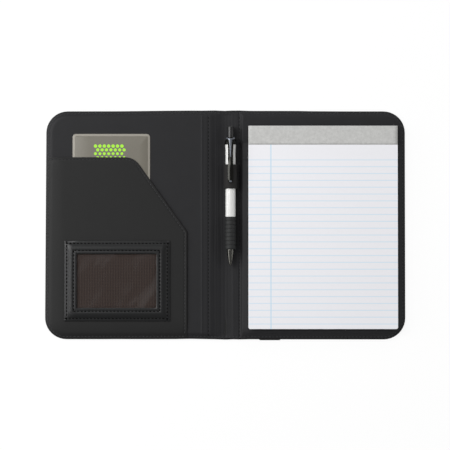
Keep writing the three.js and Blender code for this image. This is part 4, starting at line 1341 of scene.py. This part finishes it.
# %% [markdown]
# ### The clip
# A dark chrome clip: a collar on the mouth of the barrel, and a long bar that is wide at the
# collar, narrow where the barrel ends and a little wider again down to a round dot. The bar is
# crowned across, which gives the two bright lines along it.

# %% Clip
clip_low, clip_high = box("pen_clip")
clip_base = clip_high.z - 1.0
ring_top = barrel_top + 1.5
ROUND_END = 2.5            # radius of the bar's lower end
# half the width of the bar, and of the wedge in its middle that is painted lighter as a highlight, at
# places along the pen
plan = [(2.5, clip_low.y), (2.75, clip_low.y + 3), (2.75, clip_low.y + 14), (2.6, clip_low.y + 19),
        (2.6, ring_top - 14), (2.7, ring_top - 8.5), (3.2, ring_top - 4.5), (4.3, ring_top - 2.0),
        (4.2, ring_top)]
wedge = [(0.25, ring_top - 23), (0.5, ring_top - 16), (0.75, ring_top - 10), (1.25, ring_top - 4),
         (1.4, ring_top)]
EAR_DEPTH, WEDGE_END = 1.5, ring_top - 21


def half_width(y, outline):
    return float(np.interp(y, [p[1] for p in outline], [p[0] for p in outline]))


def clip_row(y):
    """One section of the bar: across its crowned face, and back along its flat underside."""
    half, inner = half_width(y, plan), half_width(y, wedge)
    if y < clip_low.y + ROUND_END:
        half = math.sqrt(max(ROUND_END ** 2 - (clip_low.y + ROUND_END - y) ** 2, 0.01))
    rib = float(smooth(ring_top - 28, ring_top - 20, y))
    notch = 0.35 * float(smooth(ring_top - 7, ring_top - 2, y))
    right = [inner / 3, inner * 2 / 3] + [inner + max(half - inner, 0) * t for t in (0, 0.3, 0.6, 0.9, 1)]
    section = []
    for x in [-x for x in right[::-1]] + [0.0] + right:
        crown = 0.35 + 0.65 * (1 - min(abs(x) / half, 1) ** 2) * (1 - rib)
        ridge = 0.12 + 0.5 * float(1 - smooth(0.6 * inner, 1.3 * inner, abs(x)))
        section.append((x, crown + rib * ridge))
    section += [(x, 0.02) for x in (half, half / 3, -half / 3, -half)]
    return [(pen_axis.x + x, y - notch * (half - abs(x)), clip_base + z) for x, z in section]


print("the bar is", round(ring_top - clip_low.y, 1), "mm long")

# %% [markdown]
# ### The mesh of the bar
# The rows lie closer where the outline turns. The faces of the wedge and of the ears get a lighter
# copy of the chrome, a painted highlight of the light above them, and the edges between face and
# side stay crisp.

# %% The mesh of the bar
clip_steps = np.concatenate([clip_low.y + ROUND_END * (1 - np.cos(np.linspace(0.12, math.pi / 2, 8))),
                             np.arange(clip_low.y + 3.5, ring_top - 9, 1.6),
                             np.arange(ring_top - 8.5, ring_top + 0.1, 0.5)])
clip_rows = [clip_row(y) for y in clip_steps]
count = len(clip_rows[0])
top_count = count - 4                # points on the face; the other four are on the underside
clip_faces, painted_highlight_faces, crisp = [], [], []
for a, y in enumerate(clip_steps[:-1]):
    for k in range(count):
        here, beside = a * count + k, a * count + (k + 1) % count
        clip_faces.append((here, here + count, beside + count, beside))
        # the faces of the wedge and of the ears take the lighter chrome, a painted highlight
        in_wedge = top_count // 2 - 3 <= k < top_count // 2 + 3 and y > WEDGE_END
        painted_highlight_faces.append(k < top_count - 1 and (in_wedge or y > ring_top - EAR_DEPTH - 0.1))
        if k in (0, top_count - 1, top_count, count - 1):
            crisp.append((here, here + count))
clip_points = [p for row in clip_rows for p in row]
clip_faces += [tuple(range(count)), tuple(reversed(range(len(clip_points) - count, len(clip_points))))]
clip = make_piece("spring_clip", clip_points, clip_faces, dark_chrome, rim=crisp)
# the second material is the painted highlight on the wedge and the ears
clip.data.materials.append(bright_chrome)
for polygon, bright in zip(clip.data.polygons, painted_highlight_faces):
    polygon.material_index = int(bright)
dress(clip, "pen", "pen_clip")
print("clip bar:", len(clip.data.polygons), "faces")

# %% [markdown]
# ### Collar, bridge and dot
# The collar is turned. A bridge carries the bar on it, and a low dome makes the dot.

# %% Collar, bridge and dot
turned("clip_collar", [
    (4.25, barrel_top + 0.05), (5.05, barrel_top - 1.45), (5.6, barrel_top - 3.0),
    (5.6, barrel_top - 5.4), (5.7, barrel_top - 5.4), (5.85, barrel_top - 4.6), (5.88, barrel_top - 3.0),
    (5.3, barrel_top - 1.3), (4.5, barrel_top + 0.2), (4.2, ring_top - 0.4), (3.9, ring_top - 0.1),
    (3.55, ring_top - 0.1), (3.55, barrel_top + 0.05), (4.25, barrel_top + 0.05)],
    dark_chrome, "pen", "pen_clip")

bridge_section = [(-2.6, pen_axis.z + 3.7), (2.6, pen_axis.z + 3.7), (3.0, clip_base - 0.2),
                  (2.4, clip_base + 0.2), (-2.4, clip_base + 0.2), (-3.0, clip_base - 0.2)]
bridge_rows = [[(pen_axis.x + x, y, z) for x, z in bridge_section] for y in (barrel_top + 0.05, ring_top)]
dress(make_piece("clip_bridge", *joined(bridge_rows), dark_chrome, flat=True), "pen")

dot_y, dot_z = clip_low.y + 1.5, clip_base + 0.6
dome_rows = [[(pen_axis.x + radius * c, dot_y + radius * s, dot_z + height) for c, s in circle(20)]
             for radius, height in ((1.2, 0.0), (1.15, 0.25), (0.9, 0.5), (0.5, 0.66), (0.0, 0.7))]
# the dot takes the lighter chrome, a painted highlight
dress(make_piece("clip_dot", *joined(dome_rows), bright_chrome), "pen")
print("clip made")

# %% [markdown]
# ### The pen loop
# A band of elastic, sewn into the seam at the back fold. It comes out of the seam, goes under the
# pen, round it and back on itself. The band is swept along that path, with its two edges rolled
# in a little as elastic does.

# %% Pen loop
loop_low, loop_high = box("pen_loop")
THICK, WIDTH = 1.0, 24.2             # of the elastic
centre_radius = pen_axis.x - loop_low.x - THICK / 2
bottom = pen_axis.z - centre_radius
upper = bottom + THICK
meet = math.asin((upper - pen_axis.z) / centre_radius)
path = [(loop_high.x, bottom), *((pen_axis.x + s, bottom) for s in (5.0, 3.0, 1.5))]
path += [(pen_axis.x + centre_radius * math.cos(a), pen_axis.z + centre_radius * math.sin(a))
         for a in np.linspace(1.5 * math.pi, meet + 0.35, 40)]
path += [(pen_axis.x + centre_radius * math.cos(meet) + 0.9, upper + 0.25), (loop_high.x, upper)]
widths = [0.0, 0.35, 1.0, 2.4, 6.0, 12.1, 18.2, 21.8, 23.2, 23.85, WIDTH]
loop_rows = []
for index, (x, z) in enumerate(path):
    before, after = path[max(index - 1, 0)], path[min(index + 1, len(path) - 1)]
    tangent = Vector((after[0] - before[0], after[1] - before[1])).normalized()
    loop_rows.append([])
    for side, across in ((1, widths), (-1, widths[::-1])):
        for w in across:
            edge = min(w, WIDTH - w)
            away = side * THICK / 2 * (0.45 + 0.55 * float(smooth(-0.2, 0.8, edge)))
            away -= 0.06 * float(1 - smooth(0, 4, edge))
            loop_rows[-1].append((x + tangent.y * away, loop_low.y + w, z - tangent.x * away))
loop = make_piece("elastic_pen_loop", *joined(loop_rows), elastic)
dress(loop, "spine_back", "pen_loop")
print("loop made")

# %% [markdown]
# ## Sewing
# Every seam is sewn with a stitch of 3.6 mm. A stitch that shows is a short hump of thread that
# dives into the leather at both ends, so each one here is a small spindle set along the seam, half
# sunk in its groove. The needle never lands quite evenly, so each stitch is a little off.

# %% Stitches
PITCH = 3.6
SPINDLE = [(-1.0, 0.0), (-0.9, 0.65), (-0.55, 1.0), (0.55, 1.0), (0.9, 0.65), (1.0, 0.0)]


def walk(points, closed=True):
    """Places and directions along a line, one for each stitch."""
    points = points + points[:1] if closed else points
    places, carried = [], 0.5 * PITCH
    for (x0, y0), (x1, y1) in zip(points, points[1:]):
        length = math.hypot(x1 - x0, y1 - y0)
        while carried <= length and length > 0:
            t = carried / length
            places.append((x0 + (x1 - x0) * t, y0 + (y1 - y0) * t, math.atan2(y1 - y0, x1 - x0)))
            carried += PITCH
        carried -= length
    return places


def sew(name, places, height, body, down=False, thick=0.34, material=thread, pulled=True):
    """One mesh of all the stitches at these places, each lying at its height."""
    xs, ys = np.array([p[0] for p in places]), np.array([p[1] for p in places])
    px, py = worn(xs, ys) if pulled else (xs, ys)
    upward, stitches = -1 if down else 1, []
    for x, y, z, (_, _, angle) in zip(px, py, height(xs, ys), places):
        angle += random.uniform(-0.05, 0.05)
        reach = 1.2 * random.uniform(0.92, 1.05)
        along, across = (math.cos(angle), math.sin(angle)), (-math.sin(angle), math.cos(angle))
        stitches.append(joined([[(x + along[0] * reach * t + across[0] * r * thick * c,
                                  y + along[1] * reach * t + across[1] * r * thick * c,
                                  z + upward * (r * thick * s - 0.25 * t * t)) for c, s in circle(6)]
                                for t, r in SPINDLE], caps=False, flip=not down))
    piece = make_piece(name, *merged(stitches), material)
    bend_strip(piece) if isinstance(body, tuple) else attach(piece, body)


print("a stitch lies every", PITCH, "mm")

# %% [markdown]
# ### The seams of the covers and the spine
# The long seam runs round the whole folio, and two rows cross it beside the spine. A stitch on a
# cover rides on the cover's body, so that it goes along when the covers close; the stitches over
# the strips stay where they are made.

# %% Seams of the covers and the spine
def surface(x, y):
    """The highest cloth at each point: lining, sleeve or pocket."""
    height = lining_top(x, y)
    height = np.where(edge_distance(sleeve_shape, x, y) > 0, sleeve_top(x, y), height)
    return np.where(edge_distance(pocket_shape, x, y) > 0, panel_top(x, y), height)


edge_row = walk(edge_points(spread, STITCH_INSET, 1.0, 3.0))
spine_rows = [(x, y, math.pi / 2) for x in (BACK_ROW, FRONT_ROW)
              for y in np.arange(foot + 4.5, head - 4, PITCH)]
for cover, left, right in COVERS:
    mine = [p for p in edge_row if left <= p[0] < right]
    sew(f"{cover}_edge_stitches", mine, lambda x, y: surface(x, y) + 0.02, cover)
    sew(f"{cover}_outside_stitches", mine, lambda x, y: leather_under(x, y) - 0.02, cover, down=True)
for strip in STRIPS:
    mine = [p for p in edge_row if strip[2] <= p[0] < strip[3]]
    row = [p for p in spine_rows if strip[2] <= p[0] < strip[3]]
    name = f"fold_{strip[0]}_{strip[1]}"
    sew(f"{name}_stitches", mine, lambda x, y: surface(x, y) + 0.02, strip)
    if row:
        sew(f"{name}_row_stitches", row, lambda x, y: surface(x, y) + 0.04, strip, material=frame_thread)
        mine = mine + row
    sew(f"{name}_outside_stitches", mine, lambda x, y: leather_under(x, y) - 0.02, strip, down=True)
print("round the edge:", len(edge_row), "stitches; beside the spine:", len(spine_rows))

# %% [markdown]
# ### The other seams
# The pocket is sewn along its free edges, the frame along both edges of its band, where the seams
# cross at the corners and run out, and the sleeve along its turned head edge.

# %% Stitches of the pocket, the frame and the sleeve
pocket_row = [p for p in walk(edge_points(pocket_shape, POCKET_SEAM, 1.0, 3.0))
              if edge_distance(spread, [p[0]], [p[1]])[0] > HEM_WIDTH]
sew("pocket_edge_stitches", pocket_row, lambda x, y: panel_top(x, y) + 0.02, "front_cover")
frame_row = []
for inset, reach in ((OUTER_SEAM, 2.6), (INNER_SEAM, 0.6)):
    corners = ring_line(inset)[::SIDE_PARTS]
    for (x0, y0), (x1, y1) in zip(corners, corners[1:] + corners[:1]):
        dx, dy = reach * np.sign(x1 - x0), reach * np.sign(y1 - y0)
        frame_row += walk([(x0 - dx, y0 - dy), (x1 + dx, y1 + dy)], closed=False)
sew("window_frame_stitches", frame_row, lambda x, y: frame_top(x, y) + 0.04, "front_cover", thick=0.6,
    material=frame_thread, pulled=False)
sleeve_row = [(x, sleeve_head - SLEEVE_SEAM, 0.0)
              for x in np.arange(sleeve_left + 3, half_spread - 4, PITCH)]
sew("sleeve_hem_stitches", sleeve_row, lambda x, y: sleeve_top(x, y) - 0.05, "back_cover", thick=0.25)
print("stitches:", 2 * len(edge_row) + len(pocket_row) + len(frame_row) + len(sleeve_row))

# %% [markdown]
# ## Floor and light
# The background of the photograph is pure white. The floor glows by itself for rays that come from
# the camera, from metal or through film, so that it looks white without flooding the folio with
# light, and it still takes a share of the folio's shadow. A soft lamp high at the left lights every
# slope that faces left, and a long strip low at the left puts the bright line on the pen. A weaker
# strip at the right gives the second line, and a soft lamp beyond the head lights the edges that
# face it. The sky is even and does the rest.

# %% Floor
FLOOR, FLOOR_Z, WHITE_SHARE = 4000, -0.05, 0.88
floor_material, shader, place = new_material("white_table", Base_Color=(1, 1, 1, 1), Roughness=0.9)
ray = add_node(floor_material, "LightPath").outputs
seen_or_glossy = add_node(floor_material, "Math", {0: ray["Is Camera Ray"], 1: ray["Is Glossy Ray"]},
                          operation="MAXIMUM")
white_rays = add_node(floor_material, "Math", {0: seen_or_glossy, 1: ray["Is Transmission Ray"]},
                      operation="MAXIMUM")
share = add_node(floor_material, "Math", {0: white_rays, 1: WHITE_SHARE}, operation="MULTIPLY")
glow = add_node(floor_material, "Emission", {"Color": (1, 1, 1, 1), "Strength": 1.0})
show(floor_material, add_node(floor_material, "MixShader", {0: share, 1: shader, 2: glow}))
floor = make_piece("floor", [(x, y, FLOOR_Z) for x, y, _ in rectangle(-FLOOR, FLOOR, -FLOOR, FLOOR)],
                   [(0, 1, 2, 3)], floor_material)
print("floor laid")

# %% [markdown]
# ### Sky and lamps
# The sky is an even white. The lamps are soft rectangles that look at the middle of the folio, and
# none of them shows in the picture itself. Places and sizes are in metres here, and power in watts.

# %% World and lamps
world = bpy.data.worlds.new("even_sky")
bpy.context.scene.world = world
world.use_nodes = True
background = world.node_tree.nodes["Background"]
background.inputs["Color"].default_value = (1, 1, 1, 1)
seen = add_node(world, "LightPath").outputs["Is Camera Ray"]
add_node(world, "MapRange", {"Value": seen, "To Min": 0.35, "To Max": 1.0}, background.inputs["Strength"])


def soft_lamp(name, place, size, power):
    """A rectangle of light that looks at the middle of the folio."""
    lamp = bpy.data.lights.new(name, "AREA")
    lamp.shape = "RECTANGLE"
    lamp.size, lamp.size_y = size
    lamp.energy = power
    holder = bpy.data.objects.new(name, lamp)
    bpy.context.scene.collection.objects.link(holder)
    holder.location = place
    holder.visible_camera = False
    holder.rotation_euler = (Vector((0, 0, 0)) - Vector(place)).to_track_quat("-Z", "Y").to_euler()


soft_lamp("key_softbox", (-0.85, 0.40, 1.2), (0.7, 0.95), 15.2)
soft_lamp("low_left_strip", (-1.0, 0.0, 0.40), (1.3, 0.32), 4.5)
soft_lamp("right_strip", (1.3, 0.1, 0.78), (1.2, 0.25), 2.8)
soft_lamp("head_softbox", (0.35, 1.35, 0.75), (1.3, 0.4), 3.7)
print("lights set")

# %% [markdown]
# ## View and finish
# Colours are shown as they are.

# %% View settings
bpy.context.scene.view_settings.view_transform = "Standard"
print("view set")
